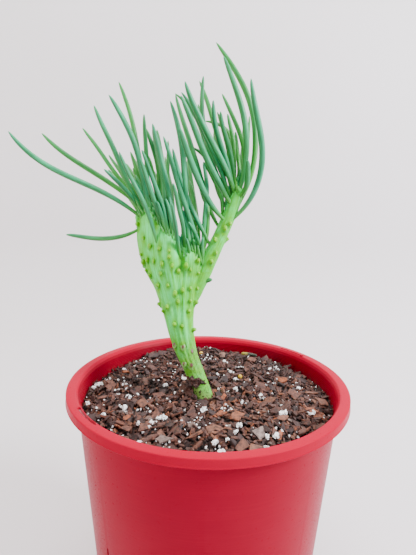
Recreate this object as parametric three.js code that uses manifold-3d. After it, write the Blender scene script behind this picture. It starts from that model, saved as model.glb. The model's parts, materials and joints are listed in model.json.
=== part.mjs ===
// Potted crested chalk sticks (a fasciated Curio / Senecio) in a 200 mm red nursery pot.
// Millimetres, +Z up. The origin is the middle of the pot's flat underside, and the side
// seen in the reference view faces -Y.
import * as THREE from 'three';
import { mergeVertices } from 'three/addons/utils/BufferGeometryUtils.js';
import Module from 'manifold-3d';

// Pot: injection-moulded polypropylene, tapered, with a folded rim
const RIM_RADIUS = 100;
const POT_HEIGHT = 190;
const RIM_TOP_WIDTH = 6.7;
const RIM_BAND_HEIGHT = 6;
const RIM_SHEET = 1.7;
const RIM_BEAD = 0.35;
const RIM_EDGE = 0.6;
const RIM_INNER_EDGE = 0.5;
const RIM_INNER_DEPTH = 3.4;
const WALL_TOP_RADIUS = 92.7;
const WALL_TAPER = THREE.MathUtils.degToRad(4.7);
const WALL = 1.8;
const BASE = 2.4;
const BASE_CORNER = 2;
const POT_SIDES = 48;
const DRAIN_HOLES = 8;
const DRAIN_RADIUS = 5.5;
const DRAIN_RING_RADIUS = 64;
const SLOT_RADIUS = 95.5;
const SLOT_WIDTH = 2;
const SLOT_ARC = THREE.MathUtils.degToRad(15);
const SLOT_END_RADIUS = 1.7;
const SLOT_BEARING = THREE.MathUtils.degToRad(40);
const GROOVES = 8;
const GROOVE_TOP = 99;
const GROOVE_FOOT = 12;
const GROOVE_WIDTH = 1.6;
const GROOVE_DEPTH = 0.7;
const GROOVE_BEARING = THREE.MathUtils.degToRad(-136);

// Potting mix: bark chips and perlite, its surface a finger's width below the rim
const MIX_LEVEL = 180.5;
const GAP = 0.3;
const MIX_SLOPE = 1.6;
const MIX_HUMP = { height: 0.8, spanX: 14, spanY: 19, shift: 1 };
const MIX_RIPPLE = { height: 0.4, span: 15 };
const MIX_RINGS = [80, 68, 54, 27];
// The mix lies lower along the wall, except at the back left, where it is heaped
const MIX_DROP = { depth: 6, from: 68, to: 87, heap: [-24, 80], reach: 40 };
const CHIPS = 72;
const CHIP_LENGTH = [12, 20];
const CHIP_WIDTH = [8, 13];
const CHIP_THICKNESS = [2.6, 3.6];
const CHIP_TILT = THREE.MathUtils.degToRad(15);
const CHIP_CORNERS = 5;
const CHIP_CORNER_SHIFT = 0.5;
const CHIP_REACH = [0.75, 1];
const CHIP_LIFT = [-0.1, 0.3];
const GRAINS = 24;
const GRAIN_RADIUS = [1.5, 2.5];
const SPREAD_RADIUS = 84;
const CLEAR_OF_STEM = 11;
const CLEAR_OF_LEAF = 11;
// Slow-release fertiliser beads lying on the mix, as [x, y]
const BEADS = [[25, 20], [-7, 68]];
const BEAD_RADIUS = 1.6;
// A shed leaf lying on the mix, pressed a little into it
const SHED_LEAF = { from: [30, 73], to: [43.5, 67.5], thickness: 3.4, sunk: 0.5 };

// Plant: a leaning trunk that flattens into a fan, with a round side shoot on its right
const FOOT_Z = 142;
const STEM_X = -3;
const STEM_Y = -12;
const EDGE_LEVEL = 287;
const LEAF_SINK = 4;
const LEAF_SIDES = 5;
const THIN_LEAF = 3.25;
const THIN_LEAF_SIDES = 4;
const LEAF_STEPS = 4;
const LEAF_STEPS_MOST = 8;
const BOW_PER_STEP = 2.5;
const ROOT_MOST = 9;
const SLIVER = 0.02;

// Steps of the evenly spread numbers that stand in for random draws
const SPREAD_STEP = 0.6180339887;
const SERIES_STEP = 0.7548776662;
const CROSS_STEP = 0.3247179572;

const wasm = await Module();
wasm.setup();

// Small helpers for shapes

function vec(x, y, z) {
  return new THREE.Vector3(x, y, z);
}

// Smooth interpolation through [position, value] pairs
function follow(pairs, at) {
  const last = pairs.length - 1;
  if (at <= pairs[0][0]) return pairs[0][1];
  if (at >= pairs[last][0]) return pairs[last][1];
  const i = pairs.findIndex((pair) => pair[0] > at) - 1;
  const [p1, p2] = [pairs[i], pairs[i + 1]];
  const p0 = pairs[Math.max(i - 1, 0)];
  const p3 = pairs[Math.min(i + 2, last)];
  const span = p2[0] - p1[0];
  const t = (at - p1[0]) / span;
  const slope1 = ((p2[1] - p0[1]) / (p2[0] - p0[0])) * span;
  const slope2 = ((p3[1] - p1[1]) / (p3[0] - p1[0])) * span;
  const t2 = t * t;
  const t3 = t2 * t;
  return (2 * t3 - 3 * t2 + 1) * p1[1] + (t3 - 2 * t2 + t) * slope1
    + (3 * t2 - 2 * t3) * p2[1] + (t3 - t2) * slope2;
}

// Evenly spread numbers from 0 to 1 that stand in for random draws, the same on every run
function spread(index, series) {
  return (0.5 + index * SPREAD_STEP + series * SERIES_STEP + index * series * CROSS_STEP) % 1;
}

// A closed body through rings of equal length, each ring mirrored about its first point,
// so that both ends close with a flat strip from side to side
function loft(rings) {
  const sides = rings[0].length;
  const index = [];
  for (let level = 0; level < rings.length - 1; level++) {
    for (let k = 0; k < sides; k++) {
      const next = (k + 1) % sides;
      const a = level * sides + k;
      const b = level * sides + next;
      index.push(a, b, b + sides, a, b + sides, a + sides);
    }
  }
  const top = (rings.length - 1) * sides;
  for (let k = 0; k < Math.floor(sides / 2); k++) {
    const mirror = (sides - k) % sides;
    const quad = [k, k + 1, mirror - 1 < 0 ? sides - 1 : mirror - 1, mirror];
    for (const [start, flip] of [[0, true], [top, false]]) {
      const [p, q, r, s] = quad.map((corner) => corner + start);
      if (q !== r) index.push(...(flip ? [p, r, q] : [p, q, r]));
      if (p !== s) index.push(...(flip ? [p, s, r] : [p, r, s]));
    }
  }
  const geometry = new THREE.BufferGeometry();
  geometry.setAttribute('position', new THREE.Float32BufferAttribute(
    rings.flat().flatMap((point) => point.toArray()), 3));
  geometry.setIndex(index);
  return solid(geometry);
}

function between([low, high], share) {
  return THREE.MathUtils.lerp(low, high, share);
}

// Turns a closed three.js geometry into a solid that can be joined and cut
function solid(geometry) {
  geometry.deleteAttribute('normal');
  geometry.deleteAttribute('uv');
  const merged = mergeVertices(geometry, 1e-3);
  const body = new wasm.Manifold(new wasm.Mesh({
    numProp: 3,
    vertProperties: new Float32Array(merged.attributes.position.array),
    triVerts: new Uint32Array(merged.index.array),
  }));
  return body;
}

function join(solids) {
  return wasm.Manifold.union(solids);
}

// The largest single body of a solid: slivers and loose scraps left by a cut are dropped
function wholeBody(body) {
  const pieces = body.simplify(SLIVER).decompose();
  return pieces.reduce((best, piece) => (piece.volume() > best.volume() ? piece : best));
}

function mesh(name, body, material) {
  const result = body.getMesh();
  const geometry = new THREE.BufferGeometry();
  geometry.setAttribute('position', new THREE.BufferAttribute(
    new Float32Array(result.vertProperties), 3));
  geometry.setIndex(new THREE.BufferAttribute(new Uint32Array(result.triVerts), 1));
  geometry.computeVertexNormals();
  const piece = new THREE.Mesh(geometry, material);
  piece.name = name;
  return piece;
}

function standard(color, roughness) {
  return new THREE.MeshStandardMaterial({ color, roughness, metalness: 0 });
}

// Pot

function wallRadius(z) {
  return WALL_TOP_RADIUS - (POT_HEIGHT - RIM_BAND_HEIGHT - z) * Math.tan(WALL_TAPER);
}

function lathe(profile, sides) {
  const geometry = new THREE.LatheGeometry(profile.map(([r, z]) => new THREE.Vector2(r, z)), sides);
  geometry.rotateX(Math.PI / 2);
  return geometry;
}

function makePot() {
  const rimInner = RIM_RADIUS - RIM_TOP_WIDTH;
  const sheetUnder = POT_HEIGHT - RIM_SHEET;
  const bandFoot = POT_HEIGHT - RIM_BAND_HEIGHT;
  const skirtInner = RIM_RADIUS - RIM_SHEET;
  const profile = [
    [0, 0],
    [wallRadius(0) - BASE_CORNER, 0],
    [wallRadius(BASE_CORNER), BASE_CORNER],
    [wallRadius(sheetUnder), sheetUnder],
    [skirtInner, sheetUnder],
    [skirtInner, bandFoot],
    [RIM_RADIUS, bandFoot],
    [RIM_RADIUS + RIM_BEAD, bandFoot + RIM_BEAD],
    [RIM_RADIUS, bandFoot + 3 * RIM_BEAD],
    [RIM_RADIUS, POT_HEIGHT - RIM_EDGE],
    [RIM_RADIUS - RIM_EDGE, POT_HEIGHT],
    [rimInner + RIM_INNER_EDGE, POT_HEIGHT],
    [rimInner, POT_HEIGHT - RIM_INNER_EDGE],
    [wallRadius(sheetUnder) - WALL, POT_HEIGHT - RIM_INNER_DEPTH],
    [wallRadius(MIX_LEVEL) - WALL, MIX_LEVEL],
    [wallRadius(BASE + BASE_CORNER) - WALL, BASE + BASE_CORNER],
    [wallRadius(BASE) - WALL - BASE_CORNER, BASE],
    [0, BASE],
  ];
  const pot = solid(lathe(profile, POT_SIDES));
  const cuts = [];
  for (let i = 0; i < DRAIN_HOLES; i++) {
    const bearing = (i / DRAIN_HOLES) * 2 * Math.PI;
    const hole = new THREE.CylinderGeometry(DRAIN_RADIUS, DRAIN_RADIUS, 4 * BASE, 10);
    hole.rotateX(Math.PI / 2);
    hole.translate(DRAIN_RING_RADIUS * Math.cos(bearing), DRAIN_RING_RADIUS * Math.sin(bearing), 0);
    cuts.push(solid(hole));
  }
  for (const bearing of [SLOT_BEARING, SLOT_BEARING + Math.PI]) {
    cuts.push(rimSlot(bearing));
  }
  for (let i = 0; i < GROOVES; i++) {
    cuts.push(wallGroove(GROOVE_BEARING + (i / GROOVES) * 2 * Math.PI));
  }
  return pot.subtract(join(cuts));
}

// A hanger slot through the flat of the rim, a little wider at its clockwise end
function rimSlot(bearing) {
  const inner = SLOT_RADIUS - SLOT_WIDTH / 2;
  const outer = SLOT_RADIUS + SLOT_WIDTH / 2;
  const from = bearing - SLOT_ARC / 2;
  const to = bearing + SLOT_ARC / 2;
  const outline = new THREE.Shape();
  outline.absarc(0, 0, outer, from, to, false);
  outline.absarc(0, 0, inner, to, from, true);
  outline.closePath();
  const depth = 2 * RIM_SHEET;
  const slot = new THREE.ExtrudeGeometry(outline, { depth, bevelEnabled: false, curveSegments: 6 });
  slot.translate(0, 0, POT_HEIGHT - depth + RIM_SHEET / 2);
  const end = new THREE.CylinderGeometry(SLOT_END_RADIUS, SLOT_END_RADIUS, depth, 10);
  end.rotateX(Math.PI / 2);
  end.translate(SLOT_RADIUS * Math.cos(from), SLOT_RADIUS * Math.sin(from), POT_HEIGHT - RIM_SHEET / 2);
  return solid(slot).add(solid(end));
}

// A shallow upright groove in the outside of the lower wall
function wallGroove(bearing) {
  const height = GROOVE_TOP - GROOVE_FOOT;
  const block = new THREE.BoxGeometry(2 * GROOVE_DEPTH, GROOVE_WIDTH, height);
  block.rotateY(WALL_TAPER);
  block.translate(wallRadius((GROOVE_TOP + GROOVE_FOOT) / 2), 0, (GROOVE_TOP + GROOVE_FOOT) / 2);
  block.rotateZ(bearing);
  return solid(block);
}

// Stem: outline seen from the front, as [height, left edge, right edge]
const STEM_OUTLINE = [
  [FOOT_Z, -6, 4], [160, -9, 5], [180, -10, 4], [197, -16, -2.5], [211, -23, -8],
  [223, -28, -10.5], [238, -32.5, -11.5], [256, -39.5, -9], [267, -46, -6.5],
  [280, -51.5, -4], [297, -54, -3], [315, -54, -3],
];
const STEM_HALF_DEPTH = [
  [FOOT_Z, 5], [160, 6.5], [182, 7], [200, 7.2], [225, 8],
  [245, 8.5], [262, 8], [280, 6.8], [295, 5.5], [312, 4.5],
];
const STEM_LEAN = [
  [FOOT_Z, -13], [182, STEM_Y], [200, -9.5], [225, -6], [250, -3], [270, -1], [300, 0],
];
// Height of the growing edge and fold of the fan, from its left end (-1) to its right (1)
const EDGE_HEIGHT = [
  [-1, 303], [-0.84, 309], [-0.57, 312], [-0.29, 303], [-0.06, 297], [0.14, 294], [0.32, 285],
  [0.42, 282], [0.56, 286], [0.8, 283], [1, 277],
];
const FAN_FOLD = [[-1, 9], [-0.8, 5], [-0.5, -1], [-0.2, -5], [0.2, -6], [0.6, -3.5], [1, 0]];
// Swellings and clefts of the fan's front, as [x, height, half width, half height, push forward]
const FORMS = [
  [-29, 284, 7, 12, 2.4], [-46, 296, 4.5, 11, 1.4], [-38, 301, 2.2, 11, -2.6],
  [-20.3, 280, 2.2, 9, -4], [-11, 277, 5, 8, 2],
];
const ACROSS_MOST = 0.97;
const FLARE_START = 222;
const FOLD_START = 235;
const FOLD_FULL = 300;
const HOLE_LEVELS = [FOOT_Z - GAP, 160, 176, 186, 197];
const STEM_LEVELS = [FOOT_Z, 160, 176, 186, 197, 208, 219, 230, 241, 251, 260, 268, 275, 281, EDGE_LEVEL];
const STEM_SIDES = 30;
const EDGE_ROUND = 1.4;
const EDGE_INSET = 2.2;
const RIB_COUNT = 5;
const RIB_HEIGHT = 0.45;
const RIB_START = 178;
const RIB_FULL = 215;

function ease(from, to, at) {
  const t = THREE.MathUtils.clamp((at - from) / (to - from), 0, 1);
  return t * t * (3 - 2 * t);
}

function outlineLeft(z) {
  return follow(STEM_OUTLINE.map(([at, left]) => [at, left]), z);
}

function outlineRight(z) {
  return follow(STEM_OUTLINE.map(([at, , right]) => [at, right]), z);
}

// Middle sheet of the fan at a place across it (-1 to 1) and a height
function fanMiddle(across, z) {
  const left = outlineLeft(z);
  const right = outlineRight(z);
  const x = (left + right) / 2 + (across * (right - left)) / 2;
  const y = follow(STEM_LEAN, z) + ease(FOLD_START, FOLD_FULL, z) * follow(FAN_FOLD, across);
  return vec(x, y, z);
}

// How far the fan's front is pushed out by its swellings and clefts
function forms(x, z) {
  return FORMS.reduce((sum, [at, height, wide, tall, push]) => (
    sum + push * Math.exp(-(((x - at) / wide) ** 2) - (((z - height) / tall) ** 2))), 0);
}

// Skin of the fan: turn 0 is its right edge, a quarter turn its back, three quarters its front
function fanSkin(turn, z, grow = 0) {
  const angle = turn * 2 * Math.PI;
  const across = Math.cos(angle);
  const side = Math.sin(angle);
  const middle = fanMiddle(across, z);
  const wave = Math.cos(across * Math.PI * RIB_COUNT) * Math.abs(side);
  const ribs = RIB_HEIGHT * ease(RIB_START, RIB_FULL, z) * wave;
  middle.y += side * (follow(STEM_HALF_DEPTH, z) + grow) + Math.sign(side) * ribs;
  middle.y -= Math.sqrt(Math.max(-side, 0)) * forms(middle.x, z);
  middle.x += across * grow;
  return middle;
}

function stemRing(level, grow = 0) {
  const ring = [];
  for (let k = 0; k < STEM_SIDES; k++) {
    const turn = k / STEM_SIDES;
    const toEdge = follow(EDGE_HEIGHT, Math.cos(turn * 2 * Math.PI)) - EDGE_LEVEL;
    const z = level + toEdge * ease(FLARE_START, EDGE_LEVEL, level);
    ring.push(fanSkin(turn, z, grow));
  }
  return ring;
}

// The fan's left end curls round behind: plan of the curl's edge as [place, x, y, height]
const CURL_EDGE = [
  [-1, -53, 7, 304], [-0.5, -51, 13, 312], [0, -44, 17.5, 315], [0.5, -35.5, 17, 309], [1, -29, 13, 299],
];
const CURL_HALF_DEPTH = [6, 4.2];
const CURL_FOOT_X = -27;
const CURL_FOOT_REACH = 3;
const CURL_FOOT_Z = 243;
const CURL_TOP_Z = 303;
const CURL_LEVELS = [CURL_FOOT_Z, 256, 268, 280, 292, CURL_TOP_Z];
const CURL_SIDES = 20;
const CURL_STEP = 0.02;

function curlEdge(place) {
  const along = (axis) => follow(CURL_EDGE.map((point) => [point[0], point[axis]]), place);
  return vec(along(1), along(2), along(3));
}

function curlRing(level, inset = 0) {
  const rise = (level - CURL_FOOT_Z) / (CURL_TOP_Z - CURL_FOOT_Z);
  const spreadOut = ease(0, 1, rise);
  const half = between(CURL_HALF_DEPTH, rise) - inset;
  const ring = [];
  for (let k = 0; k < CURL_SIDES; k++) {
    const angle = (k / CURL_SIDES) * 2 * Math.PI;
    const place = Math.cos(angle);
    const edge = curlEdge(place);
    const along = curlEdge(place + CURL_STEP).sub(curlEdge(place - CURL_STEP));
    const outward = new THREE.Vector2(-along.y, along.x).normalize();
    const x = THREE.MathUtils.lerp(CURL_FOOT_X + CURL_FOOT_REACH * place, edge.x, spreadOut);
    const y = THREE.MathUtils.lerp(-1, edge.y, spreadOut);
    const z = level + (edge.z - CURL_TOP_Z) * rise * rise;
    const push = half * Math.sin(angle);
    const pushY = push * THREE.MathUtils.lerp(1, outward.y, spreadOut);
    ring.push(vec(x + push * outward.x * spreadOut, y + pushY, z));
  }
  return ring;
}

// Side shoot: a round branch, as [x, y, z, radius] along its middle
const SHOOT = [
  [-17, -2, 240, 4], [-7, -0.5, 265, 5.8], [-0.5, 1, 280, 5.5], [5, 3, 292, 4.9], [10, 4, 304, 4.8],
  [14.5, 4.5, 316, 4.5], [17.5, 5, 325, 3.6], [18.6, 5.2, 329, 2],
];
const SHOOT_SIDES = 10;
const SHOOT_STEPS = 12;
const shootCurve = new THREE.CatmullRomCurve3(SHOOT.map(([x, y, z]) => vec(x, y, z)));

function shootRadius(z) {
  return follow(SHOOT.map((point) => [point[2], point[3]]), z);
}

function shootMiddle(z) {
  const [x, y] = [0, 1].map((axis) => follow(SHOOT.map((point) => [point[2], point[axis]]), z));
  return vec(x, y, z);
}

// A round tube through stations, each with its middle, direction and radius
function tube(stations, sides) {
  const across = vec(0, 1, 0);
  return loft(stations.map(({ middle, ahead, radius }) => {
    const right = across.clone().cross(ahead).normalize();
    const up = ahead.clone().cross(right).normalize();
    return Array.from({ length: sides }, (_, k) => {
      const angle = (k / sides) * 2 * Math.PI;
      const reach = right.clone().multiplyScalar(Math.cos(angle)).addScaledVector(up, Math.sin(angle));
      return middle.clone().addScaledVector(reach, radius);
    });
  }));
}

function shootTube() {
  const stations = [];
  for (let i = 0; i <= SHOOT_STEPS; i++) {
    const middle = shootCurve.getPoint(i / SHOOT_STEPS);
    stations.push({ middle, ahead: shootCurve.getTangent(i / SHOOT_STEPS), radius: shootRadius(middle.z) });
  }
  return tube(stations, SHOOT_SIDES);
}

// Leaves: a slim stick, widest past the middle and drawn to a point near its end. The steps
// along it are closer towards the tip
const LEAF_TAPER = [[0, 0.62], [0.15, 0.85], [0.35, 1], [0.6, 1], [0.8, 0.89], [0.92, 0.68], [1, 0.25]];
const STEPS_TO_TIP = 0.8;

// The two bows push the leaf sideways, to its right, at one third and two thirds of its length
function leafCurve(base, tip, lowBow, highBow) {
  const chord = tip.clone().sub(base);
  const aside = vec(chord.z, 0, -chord.x).normalize();
  const [lowPush, highPush] = [3 * lowBow - 1.5 * highBow, 3 * highBow - 1.5 * lowBow];
  const first = base.clone().addScaledVector(chord, 1 / 3).addScaledVector(aside, lowPush);
  const second = base.clone().addScaledVector(chord, 2 / 3).addScaledVector(aside, highPush);
  return new THREE.CubicBezierCurve3(base, first, second, tip);
}

// A leaf on its seat, with a root that goes on below the seat into the stem
function leaf(seat, root, tip, lowBow, highBow, thickness) {
  const curve = leafCurve(seat, tip, lowBow, highBow);
  const start = curve.getTangent(0);
  const radius = thickness / 2;
  const foot = seat.clone().addScaledVector(start, -root);
  const stations = [{ middle: foot, ahead: start, radius: radius * LEAF_TAPER[0][1] }];
  const bends = Math.round((Math.abs(lowBow) + Math.abs(highBow)) / BOW_PER_STEP);
  const steps = Math.min(LEAF_STEPS + bends, LEAF_STEPS_MOST);
  for (let i = 0; i <= steps; i++) {
    const t = (i / steps) ** STEPS_TO_TIP;
    const share = follow(LEAF_TAPER, t);
    stations.push({ middle: curve.getPoint(t), ahead: curve.getTangent(t), radius: radius * share });
  }
  return tube(stations, thickness < THIN_LEAF ? THIN_LEAF_SIDES : LEAF_SIDES);
}

// Each list gives seat x, seat height, tip x, tip y, tip height, low bow, high bow, thickness.
// Leaves of the fan's front and growing edge
const FAN_LEAVES = [
  [-53, 308, -136, -4, 361, -1, -5, 3.9],
  [-54, 296.5, -105, 10, 292.5, -4.2, -2.9, 3.4],
  [-49, 307, -81, 4, 380, 0.5, 0.1, 3.6],
  [-43, 309, -68, -8, 384, 4.2, 5, 3.8],
  [-37, 289, -58, -26, 347, 2, 1, 2.8],
  [-51, 311, -70, -16, 337, 1.5, 1.5, 2.8],
  [-34, 300, -46, -22, 344, 0.5, 0.5, 3.2],
  [-29, 297, -45, -20, 349, 1.5, 1, 2.9],
  [-25, 301, -40, -8, 367, 1, 0.5, 3.7],
  [-31, 301, -42, 6, 366, 1.5, 1.5, 3.2],
  [-28, 298, -40, 14, 367, 1, 1, 3.4],
  [-6, 284, -32, -16, 358, -1.5, -0.5, 3.4],
  [-25, 297, -33, 22, 361, -2, -1.5, 2.8],
  [-2, 290, -27, -6, 352, -2, -2.5, 3.4],
  [-15, 286, -29, -4, 382, 2, 3.5, 3.9],
  [-21, 281, -25, -30, 316, 0, 0, 2.8],
  [-18, 286, -25, -24, 329, 1, 1, 3.0],
  [-15, 281, -17, -14, 294, 0.6, 0.6, 2.2],
  [-5, 286, -27, 12, 390, 7.5, 4, 3.6],
  [-6, 287, -7, 2, 344, 1.5, 2.5, 3.2],
  [-11, 285, -17, 20, 333, 1.5, 1.5, 3.4],
  [-7, 285, -15, -22, 305, 0.5, 0.5, 2.6],
];
// Leaves of the curled end
const CURL_LEAVES = [
  [-51, 313, -121, 14, 363, 0.2, -1.8, 3.6],
  [-51, 313, -94, 20, 368, 0, 0, 3.0],
  [-45, 314, -68, 22, 400, 1, 2, 3.4],
  [-50, 313, -78, 30, 351, 0, 0, 2.8],
  [-44, 314, -48, 8, 376, -1.5, -1, 3.2],
  [-40, 312, -48, 14, 368, 4, 4, 3.6],
  [-47, 312, -61, 26, 353, 0, 0.5, 3.0],
  [-38, 310, -49, 26, 352, 0.5, 1.5, 2.8],
];
// Leaves of the side shoot
const SHOOT_LEAVES = [
  [20, 320, 0, 14, 424, 16, 14.5, 4.1],
  [16, 308, 22.5, -10, 395, 13.5, 9.2, 4.1],
  [18, 324, 5, 0, 411, 8.5, 7.5, 4.1],
  [18, 328, 5, 24, 394, 7.5, 6, 3.2],
  [19, 322, 22, -14, 345, 2.5, 2, 3.6],
  [17, 332, 15, 16, 367, 1.5, 1, 2.8],
  [15, 333, 9, 12, 378, 1.5, 1.5, 3.0],
  [15, 332, 4, 4, 378, 1, 0, 3.2],
  [14, 331, 2, 26, 382, 1, 1.5, 2.8],
  [14, 329, -1, -4, 383, -1, -2, 3.4],
  [13, 329, 0, 30, 370, -1.5, -2, 2.6],
  [13, 326, -11, 20, 401, 1.5, 1.5, 3.4],
  [15, 325, -19, -12, 392, 1, -1, 4.1],
  [10, 325, -8, 8, 401, -6.5, -6, 3.4],
  [11, 324, -12, 30, 388, 0, -1.5, 3.4],
  [12, 323, -22, -2, 388, 1.5, 2.5, 3.2],
  [12, 318, -21, -18, 382, -1.5, -1, 4.1],
  [10, 320, -28, 18, 392, 1.5, 5.5, 3.0],
  [10, 314, -15, 10, 355, 1.5, 4.5, 3.0],
  [7, 307, -21, -26, 362, -3.5, -3, 4.1],
  [7, 310, -7, 6, 345, 3.5, 3, 3.4],
  [4, 302, -12, 14, 344, -2, -2, 3.4],
  [15, 336, -7, 34, 377, 7, 10.5, 3.0],
  [-6, 262, 1, -5, 265, 0, 0, 3.0],
];
// Rows behind these follow a rule: even seats, a lean that opens like the fan
const BACK_ROW = { count: 9, fromX: -50, toX: -8, tipHeight: [334, 352], tipDepth: [26, 40], bow: 1 };
const CURL_ROW = { count: 6, fromX: -52, toX: -30, tipHeight: [336, 356], tipDepth: [34, 50], bow: 1 };
const SHOOT_ROW = { count: 4, fromZ: 306, toZ: 326, tipHeight: [352, 384], tipDepth: [30, 42], bow: 2 };
const ROW_THICKNESS = [2.3, 3.0];
const FAN_LEAN = [[-54, -0.95], [-44, -0.5], [-30, -0.25], [-8, -0.12], [20, 0.15]];
const LEAN_SPREAD = 0.12;
const FRONT_DROP = 8;
const FRONT_SHARE = 0.8;
const SHOOT_TOP = 327;
const SHOOT_REACH = 25;
const SHOOT_SHARE = 0.7;

function fanAcross(x, z) {
  const left = outlineLeft(z);
  const right = outlineRight(z);
  return THREE.MathUtils.clamp((2 * x - left - right) / (right - left), -ACROSS_MOST, ACROSS_MOST);
}

// A seat on the fan: on its middle sheet at the growing edge, on its front lower down
function fanSeat(x, z) {
  const across = fanAcross(x, z);
  const edge = follow(EDGE_HEIGHT, across);
  const forward = THREE.MathUtils.clamp((edge - z) / FRONT_DROP, 0, 1) * FRONT_SHARE;
  const seat = fanMiddle(across, z);
  seat.x = x;
  seat.y -= forward * follow(STEM_HALF_DEPTH, z) * Math.sqrt(1 - across * across);
  return { seat, root: THREE.MathUtils.clamp(LEAF_SINK + z - edge + 1, LEAF_SINK, ROOT_MOST) };
}

function curlSeat(x, z) {
  const edge = curlEdge(follow(CURL_EDGE.map((point) => [point[1], point[0]]), x));
  return { seat: vec(x, edge.y, z), root: LEAF_SINK + Math.max(z - edge.z + 1, 0) };
}

function shootSeat(x, z, tipY) {
  const seat = shootMiddle(z);
  seat.x = x;
  seat.y += THREE.MathUtils.clamp((tipY - seat.y) / SHOOT_REACH, -1, 1) * SHOOT_SHARE * shootRadius(z);
  return { seat, root: LEAF_SINK + Math.max(z - SHOOT_TOP, 0) };
}

function rowLeaf({ seat, root }, index, series, row) {
  const z = between(row.tipHeight, spread(index, series));
  const lean = follow(FAN_LEAN, seat.x) + LEAN_SPREAD * (spread(index, series + 1) - 0.5);
  const tip = vec(seat.x + lean * (z - seat.z), between(row.tipDepth, spread(index, series + 2)), z);
  return leaf(seat, root, tip, row.bow, row.bow, between(ROW_THICKNESS, spread(index, series + 3)));
}

function makeLeaves() {
  const leaves = [];
  for (const [rows, seatOf] of [[FAN_LEAVES, fanSeat], [CURL_LEAVES, curlSeat], [SHOOT_LEAVES, shootSeat]]) {
    for (const [x, z, tipX, tipY, tipZ, low, high, thickness] of rows) {
      const { seat, root } = seatOf(x, z, tipY);
      leaves.push(leaf(seat, root, vec(tipX, tipY, tipZ), low, high, thickness));
    }
  }
  for (let i = 0; i < BACK_ROW.count; i++) {
    const x = between([BACK_ROW.fromX, BACK_ROW.toX], i / (BACK_ROW.count - 1));
    const place = fanSeat(x, follow(EDGE_HEIGHT, fanAcross(x, EDGE_LEVEL)) - 1);
    leaves.push(rowLeaf(place, i, 1, BACK_ROW));
  }
  for (let i = 0; i < CURL_ROW.count; i++) {
    const x = between([CURL_ROW.fromX, CURL_ROW.toX], i / (CURL_ROW.count - 1));
    const edge = curlEdge(follow(CURL_EDGE.map((point) => [point[1], point[0]]), x));
    leaves.push(rowLeaf(curlSeat(x, edge.z - 1), i, 5, CURL_ROW));
  }
  for (let i = 0; i < SHOOT_ROW.count; i++) {
    const z = between([SHOOT_ROW.fromZ, SHOOT_ROW.toZ], i / (SHOOT_ROW.count - 1));
    leaves.push(rowLeaf(shootSeat(shootMiddle(z).x, z, SHOOT_REACH), i, 9, SHOOT_ROW));
  }
  return leaves;
}

// Nubs left by shed leaves: on the fan's front as [x, height], and on the side shoot
const FRONT_NUBS = [
  [-52, 301], [-47, 292], [-42, 287], [-35, 286], [-28, 285], [-28, 281], [-49, 280], [-47, 275], [-44, 277],
  [-39, 277], [-33, 276], [-26, 275], [-17, 275], [-9, 278], [-14, 272], [-22, 271], [-34, 269],
  [-45, 269], [-42, 266], [-9, 269], [-36, 260], [-29, 261], [-14, 259], [-19, 258], [-10, 258],
  [-24, 256], [-22, 250], [-14, 250], [-29, 246], [-36, 246], [-11, 248], [-15, 243], [-32, 242],
  [-24, 234], [-19, 233], [-12, 229], [-24, 220], [-18, 219], [-12, 215], [-17, 207], [-12, 206],
];
const SHOOT_NUBS = [[0, 277], [3, 283], [3, 292], [10, 292], [9, 300], [12, 303]];
const BACK_NUBS = 16;
const BACK_NUB_HEIGHT = [205, 290];
const BACK_NUB_ACROSS = [-0.85, 0.85];
const NUB_LENGTH = 3.4;
const NUB_SUNK = 1.1;
const NUB_RADII = [0.9, 1.5];
const NUB_SIDES = 4;
const NUB_RISE = 0.45;

// A short peg standing out of the skin and tipped a little upward
function nub(skin, outward) {
  const ahead = outward.clone().normalize().add(vec(0, 0, NUB_RISE)).normalize();
  const peg = new THREE.CylinderGeometry(...NUB_RADII, NUB_LENGTH, NUB_SIDES);
  peg.translate(0, NUB_LENGTH / 2 - NUB_SUNK, 0);
  peg.applyQuaternion(new THREE.Quaternion().setFromUnitVectors(vec(0, 1, 0), ahead));
  peg.translate(...skin.toArray());
  return solid(peg);
}

// face is -1 on the front of the fan and 1 on its back
function fanNub(across, z, face) {
  const turn = (face * Math.acos(across)) / (2 * Math.PI);
  const halfWidth = (outlineRight(z) - outlineLeft(z)) / 2;
  const halfDepth = follow(STEM_HALF_DEPTH, z);
  const outward = vec(across / halfWidth, (face * Math.sqrt(1 - across * across)) / halfDepth, 0);
  return nub(fanSkin(turn, z), outward);
}

function shootNub(x, z) {
  const middle = shootMiddle(z);
  const radius = shootRadius(z);
  const side = THREE.MathUtils.clamp((x - middle.x) / radius, -1, 1);
  const outward = vec(side, -Math.sqrt(1 - side * side), 0);
  return nub(middle.clone().addScaledVector(outward, radius), outward);
}

function makeNubs() {
  const nubs = FRONT_NUBS.map(([x, z]) => fanNub(fanAcross(x, z), z, -1));
  nubs.push(...SHOOT_NUBS.map(([x, z]) => shootNub(x, z)));
  for (let i = 0; i < BACK_NUBS; i++) {
    const across = between(BACK_NUB_ACROSS, spread(i, 14));
    nubs.push(fanNub(across, between(BACK_NUB_HEIGHT, (i + 0.5) / BACK_NUBS), 1));
  }
  return nubs;
}

// Potting mix

// How far the mix has sunk along the wall
function mixDrop(x, y) {
  const { depth, from, to, heap, reach } = MIX_DROP;
  const share = THREE.MathUtils.clamp((Math.hypot(x, y) - from) / (to - from), 0, 1);
  const away = Math.hypot(x - heap[0], y - heap[1]) / reach;
  return depth * share * (1 - Math.exp(-away * away));
}

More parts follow.
